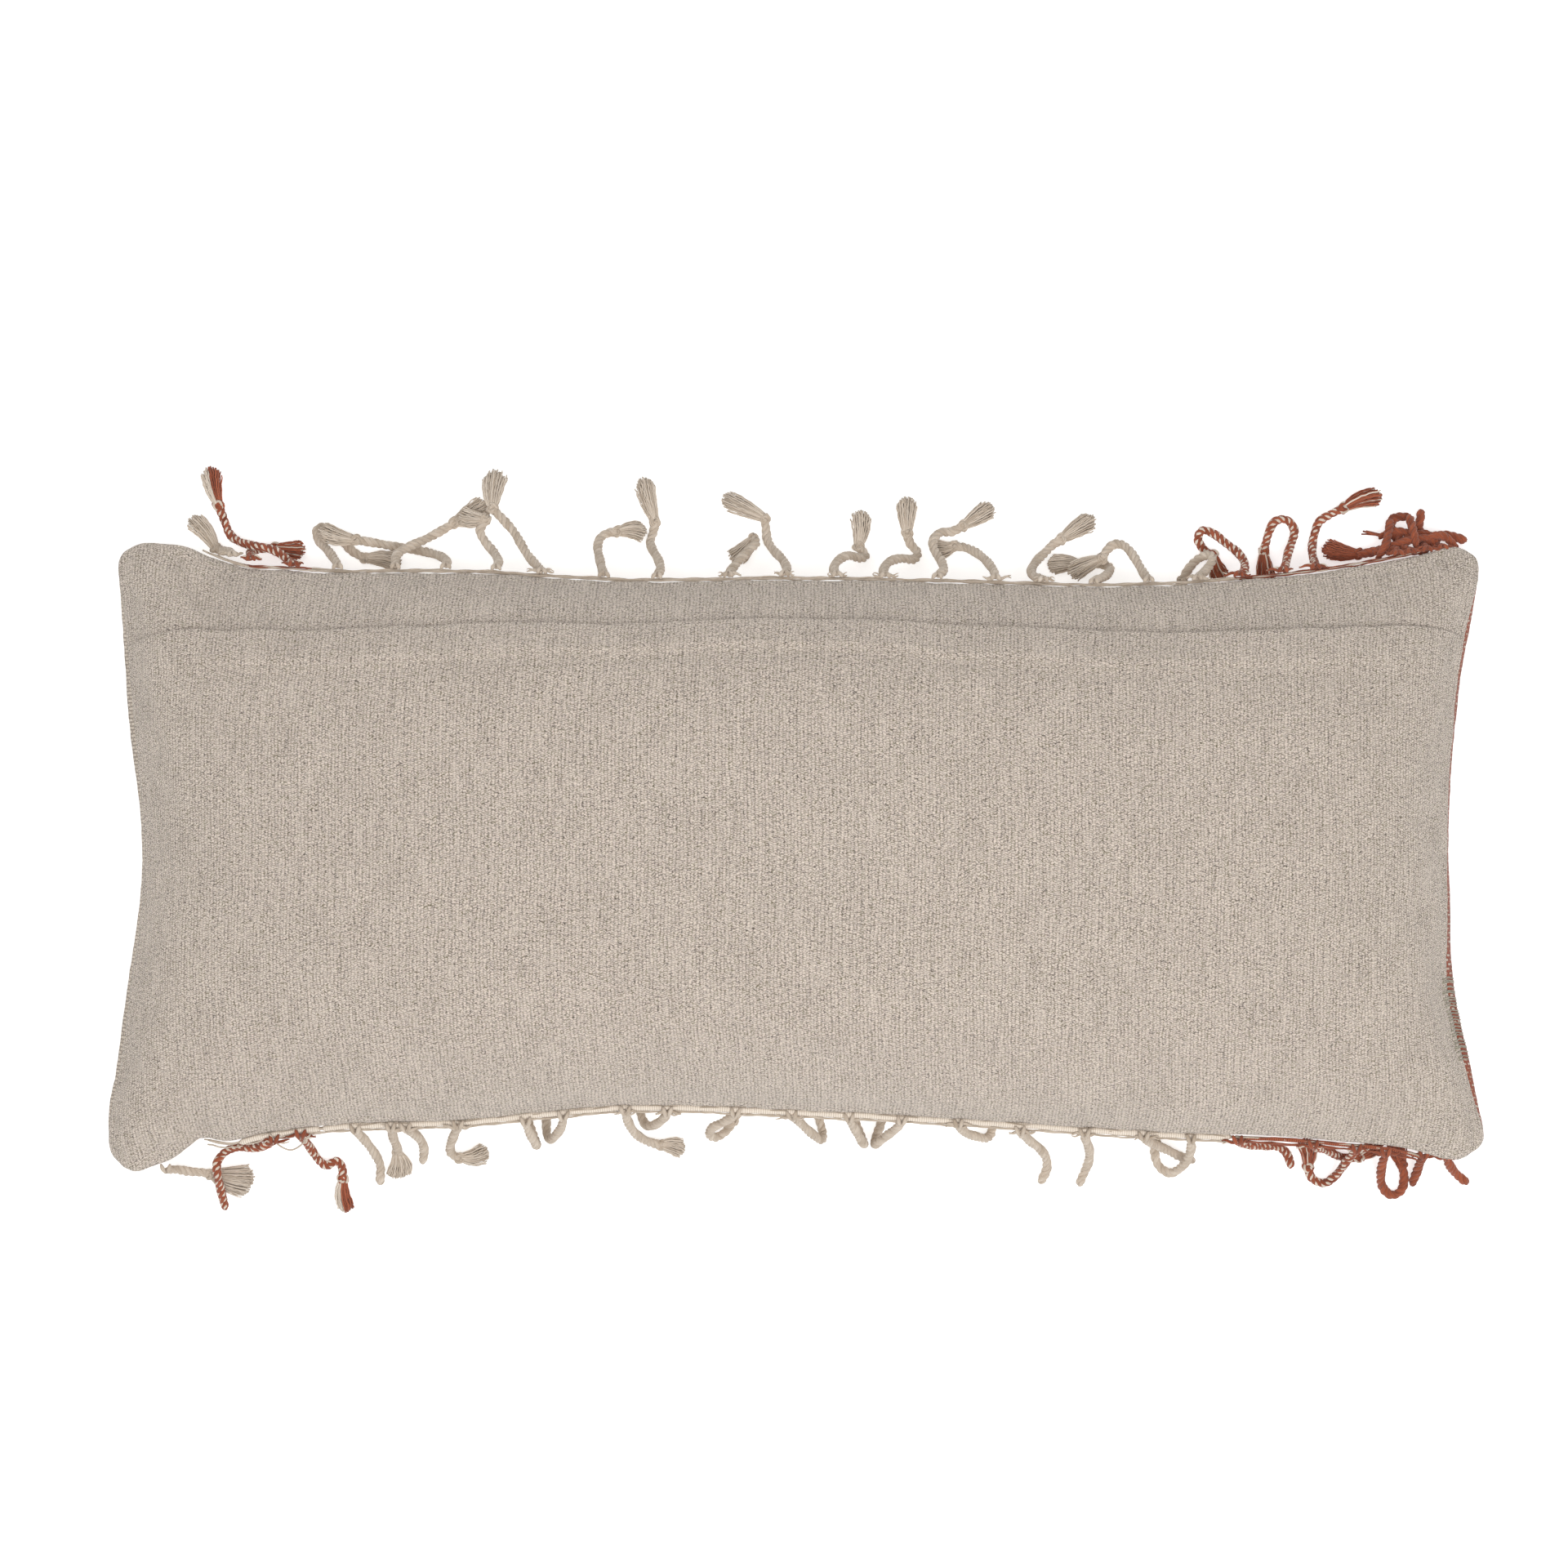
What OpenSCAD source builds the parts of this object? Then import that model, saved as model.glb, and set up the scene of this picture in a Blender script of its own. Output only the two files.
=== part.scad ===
// Fringed lumbar throw pillow, lying on its front face with its zipped back face up.
// Millimetres, +Z up, +X along the long side. The origin is the middle of the footprint on the ground.

/* [Pillow] */
// Rise of the back face above the seam at the middle
crown_rise = 80; // [70:1:85]
// Drop of the front face below the seam at the middle
belly_drop = 60; // [55:1:65]
// Height of the seam at the four corners
corner_seam_z = 18; // [14:1:22]
// Height of the seam at the middle of the long sides
long_side_seam_z = 50; // [46:1:52]
// Height of the seam at the middle of the short sides
short_side_seam_z = 42; // [38:1:46]

/* [Cloth] */
// Thickness of the hand-woven front panel
front_cloth = 2.4; // [1.6:0.1:3]
// Thickness of the plain woven back panels
back_cloth = 1.2; // [0.8:0.1:1.5]
// Thickness of the insert's ticking
ticking_cloth = 0.8; // [0.5:0.1:1]
// Width of the woven header that the fringe hangs from
header_width = 2; // [2:0.5:4]

/* [Zip] */
// Depth of the zip's centre line below the back face
zip_depth = 9.8; // [9.6:0.1:10]
// Length of the slider along the zip
slider_length = 11; // [9:0.5:12]
// Length of the pull tab beyond its pin
tab_length = 15; // [12:0.5:16]

/* [Fringe] */
// Diameter of a twisted cord
cord_diameter = 5.6; // [5:0.1:6]
// Diameter of the knot at the end of a cord
knot_diameter = 8.6; // [8:0.1:9]
// Width of a tassel at its tip
tassel_width = 14; // [12:0.5:15]

/* [Hidden] */
// Seam outline: y along the long sides at even steps of x, and x along the short sides at even steps of y
outline_reach = 440;
top_edge = [209, 191, 189, 183, 184, 182, 180, 188, 204];
bottom_edge = [-209, -181, -174, -164, -167, -173, -181, -187, -197];
left_edge = [-459, -446, -436, -443, -453];
right_edge = [459, 440, 433, 439, 456];
corner_round = 5;

// Cloth coordinates u and v run from -1 to 1 between the seams. These set how they bunch towards a steep
// edge, and how square the crown is.
bunch_u = 0.5;
bunch_v = 0.82;
crown_power_u = 2.8;
crown_power_v = 2.7;
corner_dip = 0.4;

// Lapped closure: where its lines lie in cloth coordinates, and how it stands
fold_v = 0.72;
stitch_v = 0.61;
zip_v = 0.664;
hem_v = 0.714;
zip_end_u = 0.84;
lap_rise = 2.6;
lap_lead = 0.03;
lap_run = 0.08;
upper_sink = 3.4;

// Inner cushion: gaps to the cover and to its filling, and the groove that leaves room for the zip
seam_gap = 0.2;
insert_seam_inset = 5;
insert_gap = 2;
core_reach = 0.97;
zip_groove = 17;
zip_groove_spread = 0.09;
zip_groove_end = 0.06;

// Zip: tape, coil and the tilt of its cross-section
tape_thickness = 0.7;
tape_gap = 0.25;
tape_flat = 5.6;
tape_seam_shift = 0.015;
tape_seam_depth = 1;
coil_radius = 1.2;
coil_offset = 1.9;
section_tilt = 14;
arc_middle_shift = 0.012;
arc_middle_raise = 1.5;

// Slider: plates, flanges, the post between them, and the cheeks that hold the pin
plate_thickness = 1;
plate_half_gap = 1.7;
slider_width = 9;
flange = 0.8;
tape_slot = 1.5;
post_width = 1;
post_length = 2;
post_setback = 1.5;
cheek_thickness = 1;
cheek_offset = 1.9;
cheek_length = 3;
cheek_above_pin = 0.8;
sink = 0.4;
stop_length = 3;
stop_gap = 1.5;

// Pull tab and its pin
pin_radius = 0.6;
pin_height = 1.8;
ring_radius = 1.3;
ring_width = 2.4;
tab_bore_radius = 0.75;
tab_neck = 2.2;
tab_width = 6;
tab_thickness = 0.9;

// Fringe: cord facets, tassel thickness, cord size at its root, the header's section, and the longest last
// step of a route whose cord has no tassel
cord_sides = 8;
tassel_half_height = 3.6;
root_radius = 1.6;
header_half_thickness = 1;
header_end_u = 0.93;
bare_step = 6;
rust_top_cords = [1, 19, 20, 21];
rust_bottom_cords = [1, 2, 16, 17, 18];

u_grid = [-1, -0.985, -0.96, -0.92, -0.86, -0.78, -0.68, -0.56, -0.42, -0.28, -0.14, 0,
          0.14, 0.28, 0.42, 0.56, 0.68, 0.78, 0.86, 0.92, 0.96, 0.985, 1];
v_main = [-1, -0.985, -0.95, -0.9, -0.82, -0.7, -0.55, -0.38, -0.18, 0.02, 0.22, 0.42, 0.55,
          stitch_v, 0.645, 0.68, fold_v];
v_upper = [hem_v, fold_v, 0.78, 0.85, 0.91, 0.95, 0.985, 1];
v_full = [-1, -0.97, -0.95, -0.9, -0.82, -0.7, -0.55, -0.35, -0.12, 0.12, 0.35, 0.5, 0.57,
          0.62, zip_v, 0.71, 0.77, 0.85, 0.92, 0.97, 1];
v_front = [-1, -0.97, -0.95, -0.9, -0.82, -0.7, -0.5, -0.25, 0, 0.25, 0.5, 0.7, 0.82, 0.9, 0.95, 0.985, 1];
v_facing = [stitch_v, 0.645, 0.68, fold_v];

// Cord routes, in order along each side. The first point is at the header, the last but one is the knot
// and the last is the tip of the tassel.
top_cords = [
    [[-334, 196, 35], [-338, 197.5, 27], [-345, 203, 24], [-354, 207, 21], [-365, 209, 18], [-374, 212, 11],
     [-381, 217, 5], [-385, 226, 3], [-389, 237, 4.5], [-395, 262, 5]],
    [[-304, 194, 38], [-308, 199, 28], [-314, 206, 17], [-321, 213, 7], [-323, 220, 3.5], [-317, 222, 3],
     [-308, 215, 3], [-299, 206, 3], [-290, 201, 4.5], [-266, 198, 5]],
    [[-266, 194, 41], [-267, 199, 32], [-265, 204, 23], [-258, 209, 15], [-250, 213, 9], [-240, 219, 4],
     [-230, 225, 4.5], [-207, 236, 5]],
    [[-232, 194, 43], [-233, 198, 30], [-239, 202, 16], [-248, 205, 6], [-259, 207, 3], [-270, 209, 4],
     [-282, 211, 7], [-296, 213, 12], [-320, 219, 15]],
    [[-199, 193, 45], [-198, 197, 34], [-202, 204, 21], [-208, 211, 16], [-212, 219, 14], [-208, 227, 14],
     [-226, 229, 15]],
    [[-168, 190.5, 47], [-173, 195, 38], [-179, 202, 30], [-184, 210, 23], [-189, 218, 17], [-196, 226, 13],
     [-204, 234, 12], [-202, 260, 6]],
    [[-127, 188, 49], [-129, 192, 38], [-131, 199, 25], [-133, 207, 13], [-132, 214, 6], [-127, 218, 3],
     [-120, 219, 4.5], [-101, 219, 5]],
    [[-92, 187, 50], [-90, 192, 38], [-92, 199, 26], [-96, 206, 14], [-98, 212, 6], [-96, 219, 3],
     [-95, 226, 4.5], [-103, 255, 5]],
    [[-45, 188, 50], [-43, 191, 40], [-38, 198, 28], [-32, 205, 17], [-27, 211, 9], [-29, 214, 4.5],
     [-43, 199, 5]],
    [[-8, 188.5, 50], [-6, 192, 38], [-9, 199, 25], [-15, 206, 12], [-19, 213, 5], [-20, 220, 3],
     [-21, 228, 4.5], [-49, 242, 5]],
    [[27, 188, 50], [25, 192, 39], [28, 198, 28], [35, 202, 18], [43, 201, 9], [47, 203, 4],
     [42, 209, 4.5], [44, 233, 5]],
    [[59, 187.5, 50], [58, 191, 40], [62, 197, 29], [70, 200, 19], [79, 200, 10], [82, 205, 4],
     [77, 211, 3], [75, 218, 4.5], [75, 242, 5]],
    [[93, 187, 50], [98, 191, 39], [97, 198, 27], [93, 205, 20], [92, 212, 14.5], [97, 218, 8],
     [105, 219, 4], [113, 223, 5], [133, 236, 5]],
    [[132, 186, 50], [131, 191, 40], [127, 198, 28], [121, 204, 17], [114, 208, 9], [107, 209, 5],
     [91, 207, 5]],
    [[164, 185, 48], [159, 186.5, 38], [157, 191, 27], [161, 198, 15], [167, 204, 7], [173, 210, 3],
     [179, 214, 4.5], [201, 228, 5]],
    [[197, 184, 46], [202, 185.5, 36], [208, 189, 24], [211, 194, 12], [206, 197, 5], [199, 197, 3],
     [192, 197, 4.5], [170, 197, 5]],
    [[234, 185, 44], [232, 188, 36], [229, 195, 28], [225, 203, 21], [220, 209, 15], [214, 210, 11],
     [209, 206, 12], [205, 200, 15], [183, 190, 15]],
    [[266, 186.5, 41], [270, 188.5, 32], [275, 193, 23], [279, 199, 18], [277, 203, 13], [270, 200, 7],
     [264, 193, 4], [260, 185, 4.5], [256, 170, 5]],
    [[294, 189, 38], [299, 191, 29], [300, 198, 20], [296, 205, 13], [289, 211, 9], [282, 217, 6],
     [274, 220, 4], [271, 214, 3], [275, 207, 3], [281, 203, 4.5], [287, 186, 5]],
    [[324, 192, 34], [327, 195, 25], [330, 203, 14], [334, 212, 6], [336, 220, 3], [331, 227, 3],
     [323, 226, 3], [319, 219, 3], [317, 212, 3], [315, 205, 4.5], [317, 184, 5]],
    [[346, 194.5, 31], [347, 197, 21], [347, 204, 11], [348, 211, 5], [350, 219, 3], [353, 226, 3],
     [361, 231, 3], [369, 235, 4.5], [394, 244, 5]],
];
bottom_cords = [
    [[-347, -189, 33], [-355, -192.5, 28], [-364, -194.5, 23], [-374, -194, 19], [-383, -198, 16],
     [-388, -205, 17], [-388, -213, 15.5], [-387, -222, 10], [-385, -234, 4.5], [-384, -238, 4]],
    [[-330, -185.5, 35], [-328, -189, 26], [-325, -196, 16], [-321, -204, 8], [-316, -208, 4],
     [-310, -205, 3], [-306, -209, 3], [-305, -217, 4.5], [-303, -239, 5]],
    [[-293, -182, 38], [-291, -185, 29], [-287, -192, 18], [-283, -200, 9], [-280, -208, 4],
     [-280, -217, 4.5], [-280, -221, 4]],
    [[-179, -176, 47], [-177, -183, 38], [-175, -189, 28], [-174, -193, 17], [-175, -191, 8],
     [-178, -185, 4], [-181, -177, 3], [-183, -169, 4.5], [-185, -150, 5]],
    [[-154, -172, 48], [-156, -179, 38], [-160, -185, 28], [-164, -189, 17], [-167, -188, 8],
     [-168, -182, 4], [-168, -174, 3], [-168, -166, 4.5], [-170, -148, 5]],
    [[-85, -169, 50], [-88, -173, 40], [-92, -177, 30], [-97, -180, 19], [-101, -180, 9],
     [-104, -175, 4], [-106, -167, 4.5], [-109, -148, 5]],
    [[-40, -169.5, 50], [-44, -173, 41], [-50, -177, 32], [-56, -181, 22], [-58, -186, 12],
     [-54, -189, 5], [-47, -185, 3], [-42, -177, 4.5], [-38, -158, 5]],
    [[-3, -171.5, 50], [1, -174, 41], [6, -180, 31], [12, -186, 21], [17, -190, 11],
     [18, -186, 4], [16, -178, 3], [14, -170, 4.5], [11, -150, 5]],
    [[35, -173, 50], [38, -178, 41], [41, -184, 31], [44, -190, 21], [46, -193, 11],
     [44, -189, 4], [41, -181, 3], [39, -173, 4.5], [36, -153, 5]],
    [[70, -175, 50], [66, -180, 41], [61, -185, 31], [56, -190, 21], [53, -193, 11],
     [54, -189, 4], [57, -181, 3], [59, -173, 4.5], [62, -153, 5]],
    [[107, -177, 50], [110, -180, 41], [114, -184, 31], [121, -187, 20], [128, -189, 10],
     [132, -185, 4], [131, -177, 4.5], [126, -158, 5]],
    [[148, -182, 48], [152, -185, 39], [157, -190, 29], [163, -195, 19], [168, -202, 10],
     [169, -210, 5], [166, -217, 4.5], [164, -220, 4]],
    [[191, -183.5, 46], [193, -188, 35], [196, -195, 23], [197, -203, 12], [195, -211, 5],
     [192, -218, 4.5], [191, -222, 4]],
    [[230, -186, 44], [235, -189, 34], [242, -193, 23], [250, -197, 13], [257, -201, 6],
     [265, -204, 4.5], [269, -205, 4]],
    [[262, -188, 42], [263, -194, 33], [262, -202, 22], [258, -209, 12], [252, -213, 5],
     [245, -209, 3], [242, -201, 3], [242, -192, 4.5], [240, -172, 5]],
    [[293, -189, 39], [299, -191, 30], [307, -193, 21], [315, -194, 13], [323, -195, 6],
     [330, -199, 3], [333, -206, 4.5], [333, -210, 4]],
    [[374, -195.5, 30], [371, -200, 22], [367, -208, 13], [363, -215, 6], [356, -220, 3], [348, -217, 3],
     [345, -209, 4.5], [344, -190, 5]],
    [[394, -198, 26], [393, -204, 19], [393, -213, 11], [395, -222, 4], [401, -228, 3], [408, -225, 3],
     [410, -216, 3], [408, -207, 4.5], [404, -190, 5]],
];
corner_cords_top_left = [
    [[-376, 203, 28], [-381, 205, 17], [-386, 206, 8], [-391, 208, 4.5], [-407, 229, 5]],
    [[-363, 200, 32], [-365, 202, 22], [-366, 205, 11], [-361, 207, 5], [-351, 208, 4.5], [-331, 206, 5]],
];
corner_cords_top_right = [
    [[402, 204, 26], [401, 206, 17], [395, 207, 9], [387, 205, 4], [379, 204, 4.5], [355, 208, 5]],
    [[411, 205, 25], [407, 208, 16], [404, 214, 8], [401, 221, 4], [403, 228, 3], [411, 229, 4.5],
     [414, 227, 4]],
    [[422, 206.5, 23], [421, 209, 13], [421, 215, 6], [420, 222, 3], [421, 230, 4.5], [421, 234, 4]],
    [[433, 208, 21], [430, 209, 14], [431, 214, 7], [438, 217, 3], [448, 214, 4.5], [452, 213, 4]],
];
short_cords_bottom_left = [
    [[-422, -210, 20], [-416, -210, 12], [-408, -212, 6], [-399, -213, 3], [-394, -214, 4.5],
     [-366, -219, 5]],
    [[-269, -180.5, 41], [-269, -183, 33], [-269, -188, 24], [-268, -194, 14], [-268, -199, 6],
     [-267, -216, 5]],
    [[-259, -180.5, 42], [-256, -183, 32], [-252, -188, 22], [-250, -195, 12], [-251, -203, 4.5],
     [-252, -207, 4]],
    [[-224, -178.5, 45], [-226, -181, 35], [-229, -187, 24], [-232, -194, 13], [-232, -200, 5],
     [-226, -203, 4.5], [-207, -199, 5]],
    [[-113, -168.5, 50], [-112, -174, 40], [-109, -182, 29], [-104, -188, 18], [-98, -192, 9],
     [-91, -194, 4.5], [-75, -197, 5]],
];
short_cords_bottom_right = [
    [[344, -192.5, 33], [350, -194.5, 24], [357, -197, 15], [364, -201, 8], [372, -203, 4], [380, -202, 4.5],
     [394, -190, 5]],
    [[420, -200, 23], [419, -204, 15], [418, -211, 8], [416, -218, 4.5], [415, -222, 4]],
    [[435, -201, 20], [439, -207, 13], [444, -213, 6], [450, -218, 4.5], [453, -220, 4]],
];
corner_cords_top_groups = [corner_cords_top_left, corner_cords_top_right];
short_cords_bottom_groups = [short_cords_bottom_left, short_cords_bottom_right];

function mix(a, b, t) = a + (b - a) * t;
function unit(w) = w / norm(w);
function clamp(t) = min(max(t, 0), 1);

// Smooth curve through evenly spaced stations, t from 0 to 1
function station(list, t) =
    let (last = len(list) - 1, s = clamp(t) * last, i = min(floor(s), last - 1), f = s - i,
         a = list[max(i - 1, 0)], b = list[i], c = list[i + 1], d = list[min(i + 2, last)])
    0.5 * (2 * b + (c - a) * f + (2 * a - 5 * b + 4 * c - d) * f * f + (3 * b - a - 3 * c + d) * f * f * f);
function side_y(edge, x) = station(edge, (x + outline_reach) / (2 * outline_reach));
function end_x(edge, g) = station(edge, (g + 1) / 2);

// Plan position of cloth point (u, v), pulled in from the seam by inset
function plan_u(u) = mix(u, sin(90 * u), bunch_u);
function plan_v(u, v) = mix(v, sin(90 * v), bunch_v * (1 - pow(abs(plan_u(u)), 3)));
function plan(u, v, inset) =
    let (gu = plan_u(u), gv = plan_v(u, v),
         x = mix(end_x(left_edge, gv) + inset, end_x(right_edge, gv) - inset, (gu + 1) / 2),
         y = mix(side_y(bottom_edge, x) + inset, side_y(top_edge, x) - inset, (gv + 1) / 2),
         cut = corner_round * pow(abs(gu * gv), 30))
    [x - sign(gu) * cut, y - sign(gv) * cut];

// Height of the seam, carried across the pillow
function seam_z(u, v) =
    let (gu = plan_u(u), gv = plan_v(u, v))
    corner_seam_z + (long_side_seam_z - corner_seam_z) * (1 - gu * gu)
        + (short_side_seam_z - corner_seam_z) * (1 - gv * gv) * gu * gu;
function crown(u, v) =
    let (gu = plan_u(u), gv = plan_v(u, v))
    sqrt((1 - pow(abs(gu), crown_power_u)) * (1 - pow(abs(gv), crown_power_v)))
        * (1 - corner_dip * pow(gu * gv, 4));

// Points a depth below the back face, and a depth above the front face
function back_point(u, v, depth) =
    let (p = plan(u, v, depth)) [p[0], p[1], seam_z(u, v) + (crown_rise - depth) * crown(u, v)];
function front_point(u, v, depth) =
    let (p = plan(u, v, depth))
    [p[0], p[1], max(depth, seam_z(u, v) - seam_gap - (belly_drop - depth) * crown(u, v))];

// Depth of each back layer: the lap stands proud of the zip, and the strip above it sinks under the fold
function lap_depth(v) = -lap_rise * sin(90 * clamp((v - stitch_v + lap_lead) / lap_run));
function strip_depth(v) = upper_sink * pow(clamp((1 - v) / (1 - fold_v)), 2);
function groove(u, v) =
    zip_groove * exp(-pow((v - zip_v) / zip_groove_spread, 2)) * clamp((1 - abs(u)) / zip_groove_end);
function insert_depth(u, v) = insert_seam_inset + groove(u, v);

back_outer = function (u, v) back_point(u, v, lap_depth(v));
back_inner = function (u, v) back_point(u, v, lap_depth(v) + back_cloth);
strip_outer = function (u, v) back_point(u, v, strip_depth(v));
strip_inner = function (u, v) back_point(u, v, strip_depth(v) + back_cloth);
facing_outer = function (u, v) back_point(u, v, lap_depth(v) + back_cloth);
facing_inner = function (u, v) back_point(u, v, lap_depth(v) + 2 * back_cloth);
front_outer = function (u, v) front_point(u, v, 0);
front_inner = function (u, v) front_point(u, v, front_cloth);
tick_top_outer = function (u, v) back_point(u, v, insert_depth(u, v));
tick_top_inner = function (u, v) back_point(u, v, insert_depth(u, v) + ticking_cloth);
tick_low_outer = function (u, v) front_point(u, v, insert_seam_inset);
tick_low_inner = function (u, v) front_point(u, v, insert_seam_inset + ticking_cloth);
core_depth = ticking_cloth + insert_gap;
core_top = function (u, v)
    back_point(u * core_reach, v * core_reach, insert_depth(u * core_reach, v * core_reach) + core_depth);
core_low = function (u, v) front_point(u * core_reach, v * core_reach, insert_seam_inset + core_depth);

// Closed solid between an upper and a lower surface over the same grid
module sheet_solid(upper, lower, us, vs) {
    nu = len(us);
    nv = len(vs);
    n = nu * nv;
    points = concat([for (u = us) for (v = vs) upper(u, v)], [for (u = us) for (v = vs) lower(u, v)]);
    cells = [for (i = [0:nu - 2]) for (j = [0:nv - 2]) i * nv + j];
    tops = [for (a = cells) each [[a, a + 1, a + nv + 1], [a, a + nv + 1, a + nv]]];
    lows = [for (a = cells) each [[n + a, n + a + nv + 1, n + a + 1], [n + a, n + a + nv, n + a + nv + 1]]];
    ring = concat([for (j = [0:nv - 2]) j], [for (i = [0:nu - 2]) i * nv + nv - 1],
                  [for (j = [nv - 1:-1:1]) (nu - 1) * nv + j], [for (i = [nu - 1:-1:1]) i * nv]);
    m = len(ring);
    rims = [for (k = [0:m - 1]) let (a = ring[k], b = ring[(k + 1) % m])
        each [[a, n + a, n + b], [a, n + b, b]]];
    polyhedron(points, concat(tops, lows, rims));
}

// Closed strip swept through rings of points, with flat ends. A bent ring gives its own end triangles.
module swept(rings, end = []) {
    count = len(rings);
    sides = len(rings[0]);
    points = [for (r = rings) each r];
    walls = [for (i = [0:count - 2]) for (k = [0:sides - 1])
        let (a = i * sides + k, b = i * sides + (k + 1) % sides)
            each [[a, b, b + sides], [a, b + sides, a + sides]]];
    cap = len(end) > 0 ? end : [for (k = [1:sides - 2]) [0, k, k + 1]];
    last = (count - 1) * sides;
    start = [for (t = cap) [t[0], t[2], t[1]]];
    finish = [for (t = cap) [last + t[0], last + t[1], last + t[2]]];
    polyhedron(points, concat(walls, start, finish));
}

// The zip follows one arc, found from three points below the lap
arc_left = back_point(-zip_end_u, zip_v, zip_depth);
arc_middle = back_point(0, zip_v - arc_middle_shift, zip_depth - arc_middle_raise);
arc_right = back_point(zip_end_u, zip_v, zip_depth);
arc_along = unit(arc_right - arc_left);
arc_foot = arc_left + arc_along * ((arc_middle - arc_left) * arc_along);
arc_out = unit(arc_middle - arc_foot);
arc_sag = norm(arc_middle - arc_foot);
arc_half_chord = norm(arc_right - arc_left) / 2;
arc_radius = (arc_half_chord * arc_half_chord + arc_sag * arc_sag) / (2 * arc_sag);
arc_centre = arc_middle - arc_radius * arc_out;
arc_across = cross(arc_out, arc_along);
arc_half_angle = asin(arc_half_chord / arc_radius);
stop_angle = (stop_length / 2) / arc_radius * 180 / PI;
slider_angle = arc_half_angle - (stop_length + stop_gap + slider_length / 2) / arc_radius * 180 / PI;
slider_travel = 2 * slider_angle;
echo(zip_centre = arc_centre, zip_axis = -arc_across, zip_travel = slider_travel, zip_radius = arc_radius);

// Place children, drawn with x outwards, y along the zip and z across it, at an angle along the arc
module on_arc(angle) {
    multmatrix([
        [arc_out[0], arc_along[0], arc_across[0], arc_centre[0]],
        [arc_out[1], arc_along[1], arc_across[1], arc_centre[1]],
        [arc_out[2], arc_along[2], arc_across[2], arc_centre[2]],
        [0, 0, 0, 1],
    ])
        rotate([0, 0, angle]) translate([arc_radius, 0, 0]) rotate([0, -section_tilt, 0]) children();
}
function arc_point(angle, outward, across) =
    let (r = arc_radius + outward * cos(section_tilt) - across * sin(section_tilt),
         w = across * cos(section_tilt) + outward * sin(section_tilt))
    arc_centre + arc_out * (r * cos(angle)) + arc_along * (r * sin(angle)) + arc_across * w;
arc_steps = [for (i = [0:20]) mix(-1, 1, i / 20)];

pin_x = plate_half_gap + plate_thickness + pin_height;
tab_pin = arc_point(slider_angle, pin_x, 0);
echo(tab_pin = tab_pin, tab_axis = unit(arc_point(slider_angle, 0, 1) - arc_point(slider_angle, 0, 0)));

CORE_NODES = ["fill_core", "insert_ticking_front", "insert_ticking_back", "front_panel",
    "back_panel_main", "back_panel_upper", "placket_facing", "zip_tape_upper", "zip_tape_lower",
    "zip_coil_upper", "zip_coil_lower", "zip_stop_closed", "zip_stop_open", "zip_slider", "pull_tab",
    "fringe_header_top", "fringe_header_bottom"];
TOP_NODES = [for (i = [1:len(top_cords)]) str("cord_top_", i)];
BOTTOM_NODES = [for (i = [1:len(bottom_cords)]) str("cord_bottom_", i)];

module fill_core() {
    color("ivory") sheet_solid(core_top, core_low, u_grid, v_full);
}

module insert_ticking_front() {
    color("white") sheet_solid(tick_low_inner, tick_low_outer, u_grid, v_full);
}

module insert_ticking_back() {
    color("white") sheet_solid(tick_top_outer, tick_top_inner, u_grid, v_full);
}

module front_panel() {
    color("linen") sheet_solid(front_inner, front_outer, u_grid, v_front);
}

module back_panel_main() {
    color("tan") sheet_solid(back_outer, back_inner, u_grid, v_main);
}

module back_panel_upper() {
    color("tan") sheet_solid(strip_outer, strip_inner, u_grid, v_upper);
}

module placket_facing() {
    color("tan") sheet_solid(facing_outer, facing_inner, u_grid, v_facing);
}

// A zip tape runs flat beside the coil, then out to the cloth that it is sewn to
module zip_tape(side, sewn_v, sewn_depth) {
    half = tape_thickness / 2;
    near = coil_offset + coil_radius + tape_gap;
    rings = [for (s = arc_steps)
        let (a = s * arc_half_angle, edge = back_point(s * zip_end_u, sewn_v, sewn_depth),
             inner = arc_point(a, 0, side * near), bend = arc_point(a, 0, side * tape_flat),
             along = arc_along * cos(a) - arc_out * sin(a),
             n1 = unit(cross(along, bend - inner)) * half, n2 = unit(cross(along, edge - bend)) * half,
             nm = unit(n1 + n2) * half)
        [inner - n1, inner + n1, bend + nm, edge + n2, edge - n2, bend - nm]];
    swept(rings, [[0, 1, 2], [0, 2, 5], [5, 2, 3], [5, 3, 4]]);
}

module zip_tape_upper() {
    color("beige") zip_tape(1, fold_v + tape_seam_shift, upper_sink + back_cloth + tape_seam_depth);
}

module zip_tape_lower() {
    color("beige") zip_tape(-1, stitch_v, 2 * back_cloth);
}

// One row of coil teeth, drawn as a plain round bead along the arc
module zip_coil(side) {
    multmatrix([
        [arc_out[0], arc_along[0], arc_across[0], arc_centre[0]],
        [arc_out[1], arc_along[1], arc_across[1], arc_centre[1]],
        [arc_out[2], arc_along[2], arc_across[2], arc_centre[2]],
        [0, 0, 0, 1],
    ])
        rotate([0, 0, -arc_half_angle])
            rotate_extrude(angle = 2 * arc_half_angle, $fn = 720)
                translate([arc_radius - side * coil_offset * sin(section_tilt),
                           side * coil_offset * cos(section_tilt)])
                    circle(r = coil_radius, $fn = 24);
}

module zip_coil_upper() {
    color("wheat") zip_coil(1);
}

module zip_coil_lower() {
    color("wheat") zip_coil(-1);
}

// A bridge crimped over both rows of the coil, just past its end
module zip_stop(angle, side) {
    on_arc(angle)
        translate([0, side * stop_length / 2, 0])
            cube([2 * coil_radius, stop_length, 2 * (coil_offset + coil_radius)], center = true);
}

module zip_stop_closed() {
    color("silver") zip_stop(arc_half_angle, 1);
}

module zip_stop_open() {
    color("silver") zip_stop(-arc_half_angle, -1);
}

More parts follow.
